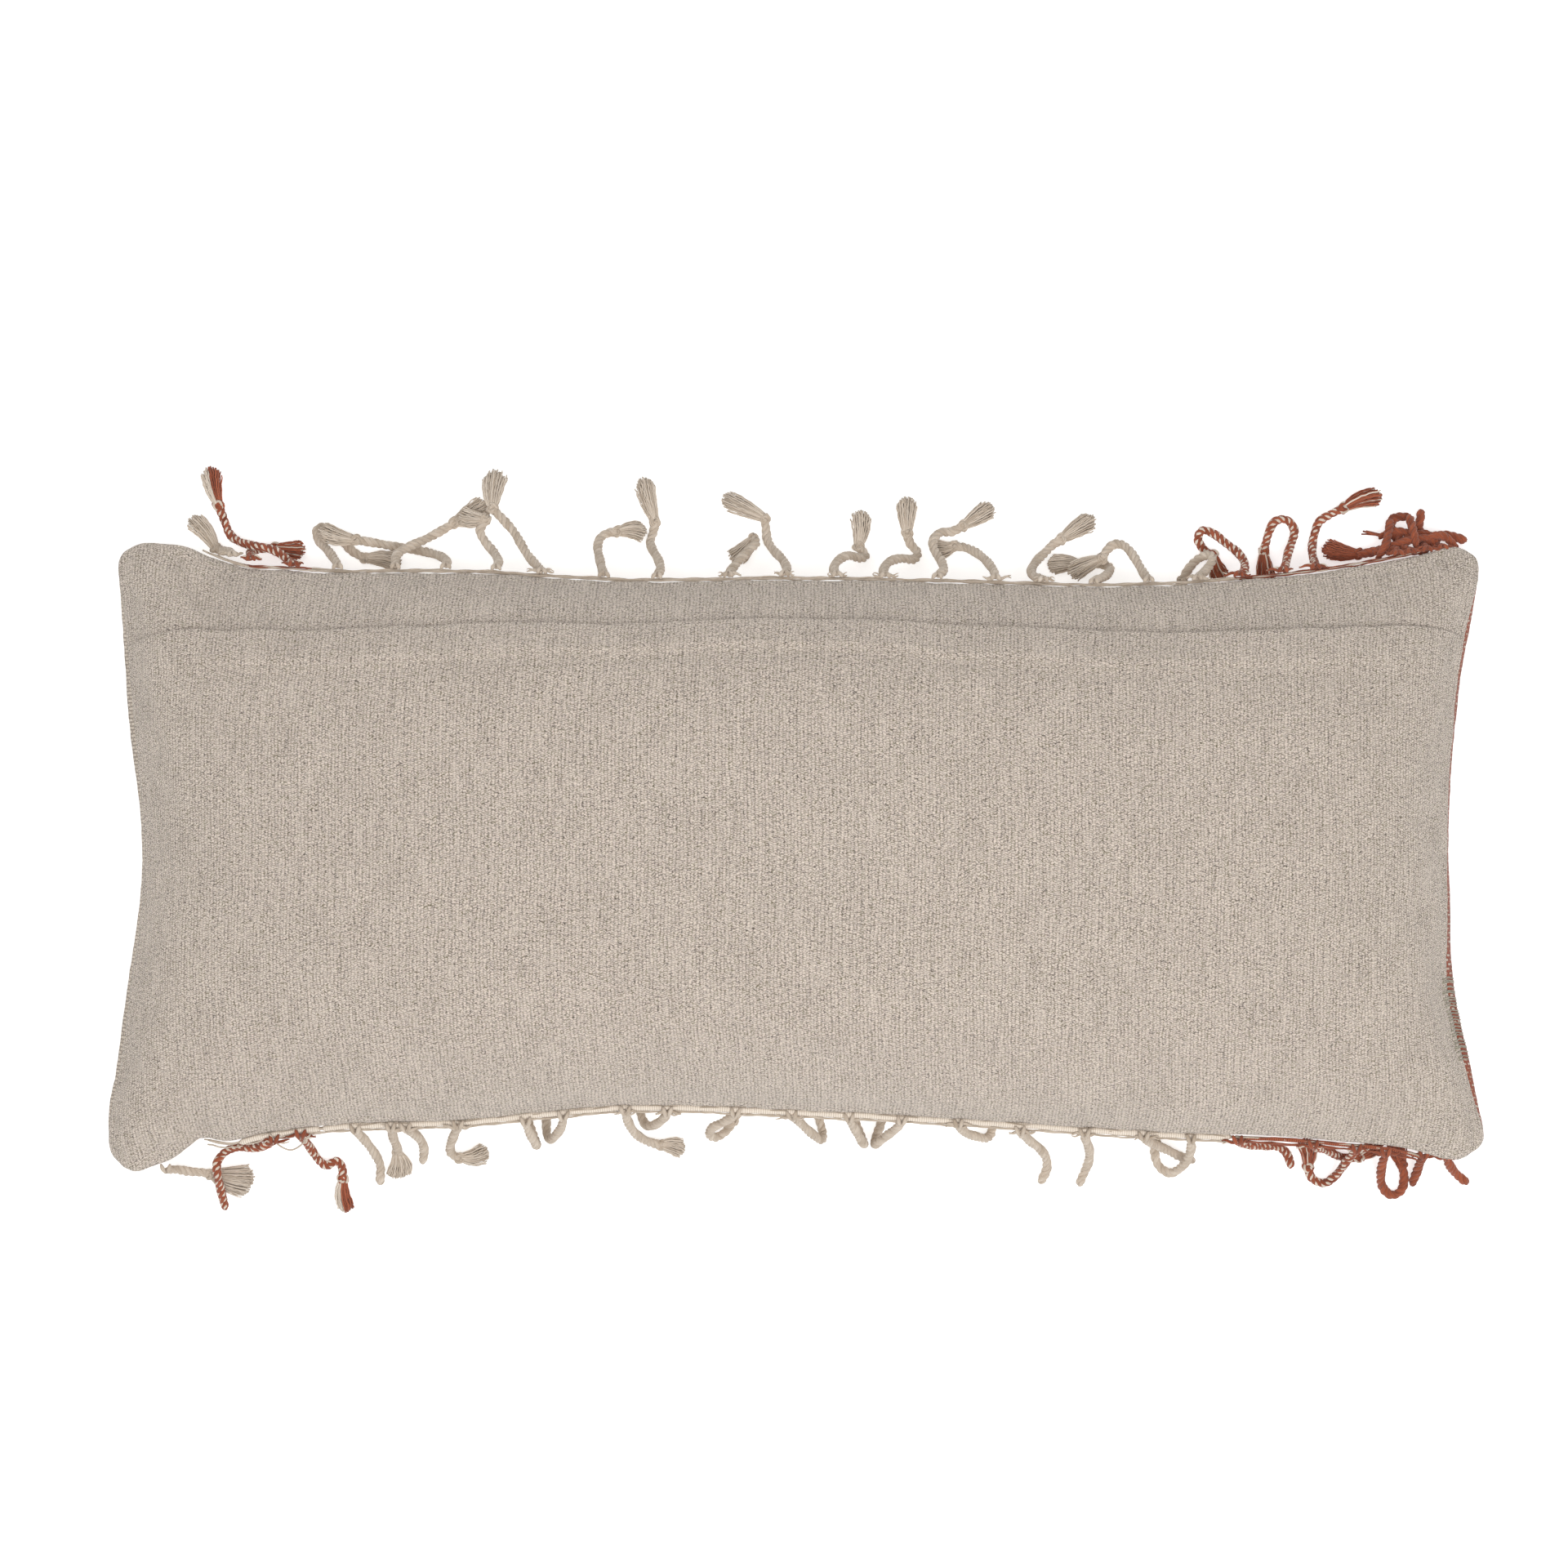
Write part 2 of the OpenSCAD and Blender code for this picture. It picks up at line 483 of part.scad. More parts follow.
module zip_slider() {
    plate_x = plate_half_gap + plate_thickness / 2;
    flange_z = (slider_width - flange) / 2;
    wall = plate_half_gap - tape_slot / 2;
    cheek_height = pin_height + cheek_above_pin + sink;
    color("silver") on_arc(slider_angle) {
        for (s = [-1, 1]) {
            translate([s * plate_x, 0, 0])
                cube([plate_thickness, slider_length, slider_width], center = true);
            for (t = [-1, 1])
                translate([s * (tape_slot / 2 + wall / 2), 0, t * flange_z])
                    cube([wall, slider_length, flange], center = true);
        }
        translate([0, slider_length / 2 - post_setback, 0])
            cube([2 * plate_x, post_length, post_width], center = true);
        for (t = [-1, 1])
            translate([pin_x + cheek_above_pin - cheek_height / 2, 0, t * cheek_offset])
                cube([cheek_height, cheek_length, cheek_thickness], center = true);
        translate([pin_x, 0, 0])
            cylinder(r = pin_radius, h = 2 * cheek_offset, center = true, $fn = 24);
    }
}

// The tab hangs from the slider's pin and lies back over the closed coil
module pull_tab() {
    color("silver") on_arc(slider_angle)
        translate([pin_x, 0, 0])
            difference() {
                union() {
                    cylinder(r = ring_radius, h = ring_width, center = true, $fn = 24);
                    translate([0, -tab_length / 2, 0])
                        cube([tab_thickness, tab_length, tab_neck], center = true);
                    translate([0, -tab_length + tab_width / 2, 0]) rotate([0, 90, 0])
                        cylinder(r = tab_width / 2, h = tab_thickness, center = true, $fn = 32);
                }
                cylinder(r = tab_bore_radius, h = ring_width + 1, center = true, $fn = 24);
                translate([0, -tab_length + tab_width / 2, 0]) rotate([0, 90, 0])
                    cylinder(r = tab_width / 4, h = 2 * tab_thickness, center = true, $fn = 24);
            }
}

// Woven band just outside the seam, on a long side
module fringe_header(side) {
    us = [for (u = u_grid) if (abs(u) < header_end_u) u];
    rings = [for (u = us)
        let (near = plan(u, side, 0), far = plan(u, side, -header_width), z = seam_z(u, side),
             low = z - header_half_thickness, high = z + header_half_thickness,
             first = [near[0], near[1], low], third = [far[0], far[1], high],
             near_top = [near[0], near[1], high], far_low = [far[0], far[1], low])
        side > 0 ? [first, near_top, third, far_low] : [first, far_low, third, near_top]];
    swept(rings);
}

module fringe_header_top() {
    color("ivory") fringe_header(1);
}

module fringe_header_bottom() {
    color("ivory") fringe_header(-1);
}

// A cord with its knot and tassel: a plain tube whose size changes at the knot and the tip
function heading(route, i) =
    let (last = len(route) - 1) unit(route[min(i + 1, last)] - route[max(i - 1, 0)]);
function cord_radius(i, last, bare) =
    i == 0 ? root_radius
    : i < last - 1 ? cord_diameter / 2
    : i == last - 1 ? knot_diameter / 2
    : bare ? cord_diameter / 2 : tassel_width / 2;
module cord(route) {
    last = len(route) - 1;
    bare = norm(route[last] - route[last - 1]) < bare_step;
    rings = [for (i = [0:last])
        let (r = cord_radius(i, last, bare), dir = heading(route, i),
             side = unit(cross(dir, [0.03, 0.02, 1])), up = cross(side, dir))
        [for (k = [0:cord_sides - 1])
            let (a = 360 * k / cord_sides,
                 flat = i == last && !bare ? tassel_half_height : min(r, route[i][2]))
            route[i] + side * (r * cos(a)) + up * (flat * sin(a))]];
    swept(rings);
}

module side_cord(route, number, rust_numbers) {
    color(len(search(number, rust_numbers)) > 0 ? "sienna" : "ivory") cord(route);
}

module corner_cords_top() {
    color("sienna") for (group = corner_cords_top_groups) for (route = group) cord(route);
}

module short_cords_bottom() {
    color("ivory") for (group = short_cords_bottom_groups) for (route = group) cord(route);
}

fill_core();
insert_ticking_front();
insert_ticking_back();
front_panel();
back_panel_main();
back_panel_upper();
placket_facing();
zip_tape_upper();
zip_tape_lower();
zip_coil_upper();
zip_coil_lower();
zip_stop_closed();
zip_stop_open();
zip_slider();
pull_tab();
fringe_header_top();
fringe_header_bottom();
for (i = [0:len(top_cords) - 1])
    side_cord(top_cords[i], i + 1, rust_top_cords);
for (i = [0:len(bottom_cords) - 1])
    side_cord(bottom_cords[i], i + 1, rust_bottom_cords);
corner_cords_top();
short_cords_bottom();
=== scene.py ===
"""Looks for the fringed lumbar throw pillow. It lies on its front face, with the lapped zip closure on top.

The cover is a sewn pair of cloth surfaces swollen by a short cloth simulation. The fringe is twisted cords,
most with an overhand knot and a brush tassel. Lengths are in millimetres, and MM turns them into metres.
"""
import math

import bpy
import numpy as np
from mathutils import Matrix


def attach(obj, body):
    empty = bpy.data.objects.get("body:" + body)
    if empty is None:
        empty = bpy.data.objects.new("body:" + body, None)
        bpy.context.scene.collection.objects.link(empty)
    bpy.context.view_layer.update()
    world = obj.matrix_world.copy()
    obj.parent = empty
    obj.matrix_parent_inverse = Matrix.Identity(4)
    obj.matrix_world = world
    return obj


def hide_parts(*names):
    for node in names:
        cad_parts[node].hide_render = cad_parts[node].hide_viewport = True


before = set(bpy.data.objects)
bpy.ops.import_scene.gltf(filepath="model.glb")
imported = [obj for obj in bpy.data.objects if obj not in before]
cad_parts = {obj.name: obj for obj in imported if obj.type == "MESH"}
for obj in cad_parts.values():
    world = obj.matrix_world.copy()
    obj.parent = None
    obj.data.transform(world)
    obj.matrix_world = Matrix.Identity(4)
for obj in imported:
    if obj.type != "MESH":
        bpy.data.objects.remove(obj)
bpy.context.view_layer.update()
MM = 0.001
rng = np.random.default_rng(11)

# ---------------------------------------------------------------- camera

CAMERA_AT = (-0.008, 0.049, 2.5)
CAMERA_LENS = 85.05


def make_camera():
    """Straight above the pillow, with its upper long side at the top of the picture."""
    data = bpy.data.cameras.new("camera")
    data.lens = CAMERA_LENS
    data.sensor_width = 36
    data.clip_end = 20
    camera = bpy.data.objects.new("camera", data)
    camera.location = CAMERA_AT
    bpy.context.scene.collection.objects.link(camera)
    bpy.context.scene.camera = camera


make_camera()

# ---------------------------------------------------------------- pillow surfaces, the same as the CAD's
# u runs across the pillow and v up it, each from -1 to 1 over the cloth. Edges are at even steps.

CROWN_RISE, BELLY_DROP = 80, 60
CORNER_SEAM_Z, LONG_SEAM_Z, SHORT_SEAM_Z = 18, 50, 42
OUTLINE_REACH = 440
TOP_EDGE = [209, 191, 189, 183, 184, 182, 180, 188, 204]
BOTTOM_EDGE = [-209, -181, -174, -164, -167, -173, -181, -187, -197]
LEFT_EDGE = [-459, -446, -436, -443, -453]
RIGHT_EDGE = [459, 440, 433, 439, 456]
CORNER_ROUND = 5
BUNCH_U, BUNCH_V = 0.5, 0.82
ZIP_END_U = 0.84
LAP_RISE, CLOTH = 2.6, 1.2


def mix(a, b, t):
    return a + (b - a) * t


def catmull_rom(a, b, c, d, t):
    """The smooth curve from b to c, given the points before and after them."""
    return 0.5 * (2 * b + (c - a) * t + (2 * a - 5 * b + 4 * c - d) * t**2 + (3 * b - a - 3 * c + d) * t**3)


def station(values, t):
    """Smooth curve through evenly spaced values, t from 0 to 1."""
    values = np.array(values, float)
    last = len(values) - 1
    s = np.clip(t, 0, 1) * last
    i = np.minimum(np.floor(s), last - 1).astype(int)
    a, b = values[np.maximum(i - 1, 0)], values[i]
    c, d = values[i + 1], values[np.minimum(i + 2, last)]
    return catmull_rom(a, b, c, d, s - i)


def side_y(edge, x):
    """The y of a long side at a place along it."""
    return station(edge, (x + OUTLINE_REACH) / (2 * OUTLINE_REACH))


def spread(u, v):
    """Where a cloth point lies across the outline, from -1 to 1 each way."""
    gu = mix(u, np.sin(np.pi / 2 * u), BUNCH_U)
    gv = mix(v, np.sin(np.pi / 2 * v), BUNCH_V * (1 - np.abs(gu) ** 3))
    return gu, gv


def plan(u, v, inset=0.0):
    """Where a cloth point lies seen from above."""
    gu, gv = spread(u, v)
    x = mix(station(LEFT_EDGE, (gv + 1) / 2) + inset, station(RIGHT_EDGE, (gv + 1) / 2) - inset, (gu + 1) / 2)
    y = mix(side_y(BOTTOM_EDGE, x) + inset, side_y(TOP_EDGE, x) - inset, (gv + 1) / 2)
    cut = CORNER_ROUND * np.abs(gu * gv) ** 30
    return x - np.sign(gu) * cut, y - np.sign(gv) * cut


def seam_z(u, v):
    """The height of the cover's seams, carried smoothly across the middle."""
    gu, gv = spread(u, v)
    long_rise, short_rise = LONG_SEAM_Z - CORNER_SEAM_Z, SHORT_SEAM_Z - CORNER_SEAM_Z
    return CORNER_SEAM_Z + long_rise * (1 - gu**2) + short_rise * (1 - gv**2) * gu**2


def crown(u, v):
    """How full the pillow is at a cloth point: 0 on the seams and 1 in the middle."""
    gu, gv = spread(u, v)
    across, along = (1 - np.abs(gu) ** 2.8).clip(0), (1 - np.abs(gv) ** 2.7).clip(0)
    return np.sqrt(across * along) * (1 - 0.4 * (gu * gv) ** 4)


def back_point(u, v, depth=0.0):
    """A point of the back, or that depth inside it."""
    x, y = plan(u, v, depth)
    return np.stack([x, y, seam_z(u, v) + (CROWN_RISE - depth) * crown(u, v)], -1)


def front_point(u, v, depth=0.0):
    """A point of the front, or that depth inside it."""
    x, y = plan(u, v, depth)
    return np.stack([x, y, np.maximum(depth, seam_z(u, v) - (BELLY_DROP - depth) * crown(u, v))], -1)


# ---------------------------------------------------------------- cord routes, the same as the CAD's
# In order along each side. The first point is at the header, the last but one is the knot, and the last is
# the tassel's tip. A cord with a bare end has its last two points close together.
TOP_CORDS = [
    [[-334, 196, 35], [-338, 197.5, 27], [-345, 203, 24], [-354, 207, 21], [-365, 209, 18], [-374, 212, 11],
     [-381, 217, 5], [-385, 226, 3], [-389, 237, 4.5], [-395, 262, 5]],
    [[-304, 194, 38], [-308, 199, 28], [-314, 206, 17], [-321, 213, 7], [-323, 220, 3.5], [-317, 222, 3],
     [-308, 215, 3], [-299, 206, 3], [-290, 201, 4.5], [-266, 198, 5]],
    [[-266, 194, 41], [-267, 199, 32], [-265, 204, 23], [-258, 209, 15], [-250, 213, 9], [-240, 219, 4],
     [-230, 225, 4.5], [-207, 236, 5]],
    [[-232, 194, 43], [-233, 198, 30], [-239, 202, 16], [-248, 205, 6], [-259, 207, 3], [-270, 209, 4],
     [-282, 211, 7], [-296, 213, 12], [-320, 219, 15]],
    [[-199, 193, 45], [-198, 197, 34], [-202, 204, 21], [-208, 211, 16], [-212, 219, 14], [-208, 227, 14],
     [-226, 229, 15]],
    [[-168, 190.5, 47], [-173, 195, 38], [-179, 202, 30], [-184, 210, 23], [-189, 218, 17], [-196, 226, 13],
     [-204, 234, 12], [-202, 260, 6]],
    [[-127, 188, 49], [-129, 192, 38], [-131, 199, 25], [-133, 207, 13], [-132, 214, 6], [-127, 218, 3],
     [-120, 219, 4.5], [-101, 219, 5]],
    [[-92, 187, 50], [-90, 192, 38], [-92, 199, 26], [-96, 206, 14], [-98, 212, 6], [-96, 219, 3],
     [-95, 226, 4.5], [-103, 255, 5]],
    [[-45, 188, 50], [-43, 191, 40], [-38, 198, 28], [-32, 205, 17], [-27, 211, 9], [-29, 214, 4.5],
     [-43, 199, 5]],
    [[-8, 188.5, 50], [-6, 192, 38], [-9, 199, 25], [-15, 206, 12], [-19, 213, 5], [-20, 220, 3],
     [-21, 228, 4.5], [-49, 242, 5]],
    [[27, 188, 50], [25, 192, 39], [28, 198, 28], [35, 202, 18], [43, 201, 9], [47, 203, 4],
     [42, 209, 4.5], [44, 233, 5]],
    [[59, 187.5, 50], [58, 191, 40], [62, 197, 29], [70, 200, 19], [79, 200, 10], [82, 205, 4],
     [77, 211, 3], [75, 218, 4.5], [75, 242, 5]],
    [[93, 187, 50], [98, 191, 39], [97, 198, 27], [93, 205, 20], [92, 212, 14.5], [97, 218, 8],
     [105, 219, 4], [113, 223, 5], [133, 236, 5]],
    [[132, 186, 50], [131, 191, 40], [127, 198, 28], [121, 204, 17], [114, 208, 9], [107, 209, 5],
     [91, 207, 5]],
    [[164, 185, 48], [159, 186.5, 38], [157, 191, 27], [161, 198, 15], [167, 204, 7], [173, 210, 3],
     [179, 214, 4.5], [201, 228, 5]],
    [[197, 184, 46], [202, 185.5, 36], [208, 189, 24], [211, 194, 12], [206, 197, 5], [199, 197, 3],
     [192, 197, 4.5], [170, 197, 5]],
    [[234, 185, 44], [232, 188, 36], [229, 195, 28], [225, 203, 21], [220, 209, 15], [214, 210, 11],
     [209, 206, 12], [205, 200, 15], [183, 190, 15]],
    [[266, 186.5, 41], [270, 188.5, 32], [275, 193, 23], [279, 199, 18], [277, 203, 13], [270, 200, 7],
     [264, 193, 4], [260, 185, 4.5], [256, 170, 5]],
    [[294, 189, 38], [299, 191, 29], [300, 198, 20], [296, 205, 13], [289, 211, 9], [282, 217, 6],
     [274, 220, 4], [271, 214, 3], [275, 207, 3], [281, 203, 4.5], [287, 186, 5]],
    [[324, 192, 34], [327, 195, 25], [330, 203, 14], [334, 212, 6], [336, 220, 3], [331, 227, 3],
     [323, 226, 3], [319, 219, 3], [317, 212, 3], [315, 205, 4.5], [317, 184, 5]],
    [[346, 194.5, 31], [347, 197, 21], [347, 204, 11], [348, 211, 5], [350, 219, 3], [353, 226, 3],
     [361, 231, 3], [369, 235, 4.5], [394, 244, 5]],
]
BOTTOM_CORDS = [
    [[-347, -189, 33], [-355, -192.5, 28], [-364, -194.5, 23], [-374, -194, 19], [-383, -198, 16],
     [-388, -205, 17], [-388, -213, 15.5], [-387, -222, 10], [-385, -234, 4.5], [-384, -238, 4]],
    [[-330, -185.5, 35], [-328, -189, 26], [-325, -196, 16], [-321, -204, 8], [-316, -208, 4],
     [-310, -205, 3], [-306, -209, 3], [-305, -217, 4.5], [-303, -239, 5]],
    [[-293, -182, 38], [-291, -185, 29], [-287, -192, 18], [-283, -200, 9], [-280, -208, 4],
     [-280, -217, 4.5], [-280, -221, 4]],
    [[-179, -176, 47], [-177, -183, 38], [-175, -189, 28], [-174, -193, 17], [-175, -191, 8],
     [-178, -185, 4], [-181, -177, 3], [-183, -169, 4.5], [-185, -150, 5]],
    [[-154, -172, 48], [-156, -179, 38], [-160, -185, 28], [-164, -189, 17], [-167, -188, 8],
     [-168, -182, 4], [-168, -174, 3], [-168, -166, 4.5], [-170, -148, 5]],
    [[-85, -169, 50], [-88, -173, 40], [-92, -177, 30], [-97, -180, 19], [-101, -180, 9],
     [-104, -175, 4], [-106, -167, 4.5], [-109, -148, 5]],
    [[-40, -169.5, 50], [-44, -173, 41], [-50, -177, 32], [-56, -181, 22], [-58, -186, 12],
     [-54, -189, 5], [-47, -185, 3], [-42, -177, 4.5], [-38, -158, 5]],
    [[-3, -171.5, 50], [1, -174, 41], [6, -180, 31], [12, -186, 21], [17, -190, 11],
     [18, -186, 4], [16, -178, 3], [14, -170, 4.5], [11, -150, 5]],
    [[35, -173, 50], [38, -178, 41], [41, -184, 31], [44, -190, 21], [46, -193, 11],
     [44, -189, 4], [41, -181, 3], [39, -173, 4.5], [36, -153, 5]],
    [[70, -175, 50], [66, -180, 41], [61, -185, 31], [56, -190, 21], [53, -193, 11],
     [54, -189, 4], [57, -181, 3], [59, -173, 4.5], [62, -153, 5]],
    [[107, -177, 50], [110, -180, 41], [114, -184, 31], [121, -187, 20], [128, -189, 10],
     [132, -185, 4], [131, -177, 4.5], [126, -158, 5]],
    [[148, -182, 48], [152, -185, 39], [157, -190, 29], [163, -195, 19], [168, -202, 10],
     [169, -210, 5], [166, -217, 4.5], [164, -220, 4]],
    [[191, -183.5, 46], [193, -188, 35], [196, -195, 23], [197, -203, 12], [195, -211, 5],
     [192, -218, 4.5], [191, -222, 4]],
    [[230, -186, 44], [235, -189, 34], [242, -193, 23], [250, -197, 13], [257, -201, 6],
     [265, -204, 4.5], [269, -205, 4]],
    [[262, -188, 42], [263, -194, 33], [262, -202, 22], [258, -209, 12], [252, -213, 5],
     [245, -209, 3], [242, -201, 3], [242, -192, 4.5], [240, -172, 5]],
    [[293, -189, 39], [299, -191, 30], [307, -193, 21], [315, -194, 13], [323, -195, 6],
     [330, -199, 3], [333, -206, 4.5], [333, -210, 4]],
    [[374, -195.5, 30], [371, -200, 22], [367, -208, 13], [363, -215, 6], [356, -220, 3], [348, -217, 3],
     [345, -209, 4.5], [344, -190, 5]],
    [[394, -198, 26], [393, -204, 19], [393, -213, 11], [395, -222, 4], [401, -228, 3], [408, -225, 3],
     [410, -216, 3], [408, -207, 4.5], [404, -190, 5]],
]
CORNER_LEFT = [
    [[-376, 203, 28], [-381, 205, 17], [-386, 206, 8], [-391, 208, 4.5], [-407, 229, 5]],
    [[-363, 200, 32], [-365, 202, 22], [-366, 205, 11], [-361, 207, 5], [-351, 208, 4.5], [-331, 206, 5]],
]
CORNER_RIGHT = [
    [[402, 204, 26], [401, 206, 17], [395, 207, 9], [387, 205, 4], [379, 204, 4.5], [355, 208, 5]],
    [[411, 205, 25], [407, 208, 16], [404, 214, 8], [401, 221, 4], [403, 228, 3], [411, 229, 4.5],
     [414, 227, 4]],
    [[422, 206.5, 23], [421, 209, 13], [421, 215, 6], [420, 222, 3], [421, 230, 4.5], [421, 234, 4]],
    [[433, 208, 21], [430, 209, 14], [431, 214, 7], [438, 217, 3], [448, 214, 4.5], [452, 213, 4]],
]
SHORT_LEFT = [
    [[-422, -210, 20], [-416, -210, 12], [-408, -212, 6], [-399, -213, 3], [-394, -214, 4.5],
     [-366, -219, 5]],
    [[-269, -180.5, 41], [-269, -183, 33], [-269, -188, 24], [-268, -194, 14], [-268, -199, 6],
     [-267, -216, 5]],
    [[-259, -180.5, 42], [-256, -183, 32], [-252, -188, 22], [-250, -195, 12], [-251, -203, 4.5],
     [-252, -207, 4]],
    [[-224, -178.5, 45], [-226, -181, 35], [-229, -187, 24], [-232, -194, 13], [-232, -200, 5],
     [-226, -203, 4.5], [-207, -199, 5]],
    [[-113, -168.5, 50], [-112, -174, 40], [-109, -182, 29], [-104, -188, 18], [-98, -192, 9],
     [-91, -194, 4.5], [-75, -197, 5]],
]
SHORT_RIGHT = [
    [[344, -192.5, 33], [350, -194.5, 24], [357, -197, 15], [364, -201, 8], [372, -203, 4], [380, -202, 4.5],
     [394, -190, 5]],
    [[420, -200, 23], [419, -204, 15], [418, -211, 8], [416, -218, 4.5], [415, -222, 4]],
    [[435, -201, 20], [439, -207, 13], [444, -213, 6], [450, -218, 4.5], [453, -220, 4]],
]

# ---------------------------------------------------------------- mesh building


class Build:
    """Gathers vertices, faces, material numbers and the coordinates that the materials read."""

    def __init__(self):
        self.points, self.field, self.tone, self.faces, self.slots, self.count = [], [], [], [], [], 0

    def add(self, points, faces, field, tone=0.0, slot=0):
        self.points.append(points)
        self.field.append(field)
        self.tone.append(np.full(len(points), tone, float) if np.isscalar(tone) else tone)
        self.faces += [tuple(i + self.count for i in f) for f in faces]
        self.slots += [slot] * len(faces)
        self.count += len(points)

    def piece(self, name, materials, body="cover", slot=None):
        mesh = bpy.data.meshes.new(name)
        mesh.from_pydata((np.concatenate(self.points) * MM).tolist(), [], self.faces)
        layer = mesh.attributes.new("cloth", "FLOAT_VECTOR", "POINT")
        layer.data.foreach_set("vector", np.concatenate(self.field).astype(np.float32).ravel())
        layer = mesh.attributes.new("tone", "FLOAT", "POINT")
        layer.data.foreach_set("value", np.concatenate(self.tone).astype(np.float32))
        for material in materials:
            mesh.materials.append(material)
        mesh.polygons.foreach_set("material_index", np.array(self.slots, np.int32))
        mesh.polygons.foreach_set("use_smooth", np.ones(len(self.faces), bool))
        mesh.update()
        obj = bpy.data.objects.new(name, mesh)
        bpy.context.scene.collection.objects.link(obj)
        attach(obj, body)
        return obj


def unit(w):
    return w / np.maximum(np.linalg.norm(w, axis=-1, keepdims=True), 1e-9)


def lengths(path):
    return np.concatenate([[0], np.cumsum(np.linalg.norm(np.diff(path, axis=0), axis=1))])


def smooth_path(points, step):
    """A Catmull-Rom curve through the points, with even steps."""
    p = np.array(points, float)
    p = np.vstack([2 * p[0] - p[1], p, 2 * p[-1] - p[-2]])
    t = np.linspace(0, 1, 12, endpoint=False)[:, None]
    runs = [catmull_rom(*four, t) for four in zip(p[:-3], p[1:-2], p[2:-1], p[3:])]
    dense = np.vstack(runs + [p[-2][None]])
    s = lengths(dense)
    even = np.linspace(0, s[-1], max(int(s[-1] / step), 4) + 1)
    return np.stack([np.interp(even, s, dense[:, k]) for k in range(3)], -1)


def frames(path):
    """Unit tangents, and two normals that turn as little as they can, along a path."""
    t = unit(np.gradient(path, axis=0))
    n = np.empty_like(path)
    start = np.cross(t[0], [0.03, 0.02, 1])
    n[0] = unit(start if np.linalg.norm(start) > 0.1 else np.cross(t[0], [1, 0, 0]))
    for i in range(1, len(path)):
        n[i] = unit(n[i - 1] - np.dot(n[i - 1], t[i]) * t[i])
    return t, n, np.cross(t, n)


def quads(index, flip=False):
    """Faces between neighbours in a grid of vertex numbers."""
    a, b, c, d = index[:-1, :-1], index[1:, :-1], index[1:, 1:], index[:-1, 1:]
    return np.stack([a, d, c, b] if flip else [a, b, c, d], -1).reshape(-1, 4).tolist()


def tube(build, path, radius, sides, slot, tone=0.0, closed=False):
    """A tube along a path. Its field is the straightened tube: along it, and the two ways across."""
    path = np.asarray(path, float)
    _, n, b = frames(path)
    s = lengths(path)
    radius = np.broadcast_to(radius, (len(path),)).astype(float)
    a = np.linspace(0, 2 * math.pi, sides, endpoint=False)
    ring = np.cos(a)[None, :, None] * n[:, None] + np.sin(a)[None, :, None] * b[:, None]
    points = (path[:, None] + radius[:, None, None] * ring).reshape(-1, 3)
    shift = rng.uniform(0, 200)
    across = [(radius[:, None] * wave(a)[None]).ravel() for wave in (np.cos, np.sin)]
    field = np.stack([np.repeat(s + shift, sides), *across], -1)
    count = len(path)
    faces = [
        (i * sides + k, i * sides + (k + 1) % sides, (i + 1) * sides + (k + 1) % sides, (i + 1) * sides + k)
        for i in range(count - 1)
        for k in range(sides)
    ]
    if closed:
        last = (count - 1) * sides
        faces += [(last + k, last + (k + 1) % sides, (k + 1) % sides, k) for k in range(sides)]
    else:
        faces += [tuple(range(sides))[::-1], tuple((count - 1) * sides + k for k in range(sides))]
    build.add(points, faces, field, tone, slot)


# ---------------------------------------------------------------- materials


class Graph:
    """A node material being wired up."""

    def __init__(self, name):
        self.material = bpy.data.materials.new(name)
        self.material.use_nodes = True
        self.nodes = self.material.node_tree.nodes
        self.links = self.material.node_tree.links
        self.shader = self.nodes["Principled BSDF"]

    def node(self, kind, inputs=(), **settings):
        made = self.nodes.new("ShaderNode" + kind)
        for key, value in settings.items():
            setattr(made, key, value)
        for key, value in dict(inputs).items():
            if isinstance(value, bpy.types.NodeSocket):
                self.links.new(value, made.inputs[key])
            else:
                made.inputs[key].default_value = value
        return made

    def math(self, operation, a, b=0.0, c=0.0):
        return self.node("Math", {0: a, 1: b, 2: c}, operation=operation).outputs[0]

    def vector(self, operation, a, b=(0, 0, 0)):
        return self.node("VectorMath", {0: a, 1: b}, operation=operation).outputs[0]

    def field(self):
        return self.node("Attribute", attribute_name="cloth").outputs["Vector"]

    def tone(self):
        return self.node("Attribute", attribute_name="tone").outputs["Fac"]

    def noise(self, vector, scale, detail=2.0, roughness=0.5):
        inputs = {"Vector": vector, "Scale": scale, "Detail": detail, "Roughness": roughness}
        return self.node("TexNoise", inputs)

    def mixed(self, fac, a, b, blend="MIX"):
        return self.node("Mix", {0: fac, 6: a, 7: b}, data_type="RGBA", blend_type=blend).outputs[2]

    def ranged(self, value, low, high, to_low, to_high):
        inputs = {0: value, 1: low, 2: high, 3: to_low, 4: to_high}
        return self.node("MapRange", inputs, clamp=True).outputs[0]

    def finish(self, color, height, roughness, strength=0.6, distance=0.0004, sheen=0.15, metallic=0.0):
        bump = self.node("Bump", {"Height": height, "Strength": strength, "Distance": distance})
        self.links.new(color, self.shader.inputs["Base Color"])
        self.links.new(bump.outputs[0], self.shader.inputs["Normal"])
        self.shader.inputs["Roughness"].default_value = roughness
        self.shader.inputs["Metallic"].default_value = metallic
        self.shader.inputs["Sheen Weight"].default_value = sheen
        self.shader.inputs["Sheen Roughness"].default_value = 0.6
        self.shader.inputs["Specular IOR Level"].default_value = 0.2
        return self.material


def rgb(r, g, b):
    """A colour given in display values from 0 to 255, as the linear colour that a shader takes."""
    linear = [c / 255 / 12.92 if c <= 10 else ((c / 255 + 0.055) / 1.055) ** 2.4 for c in (r, g, b)]
    return (*linear, 1.0)


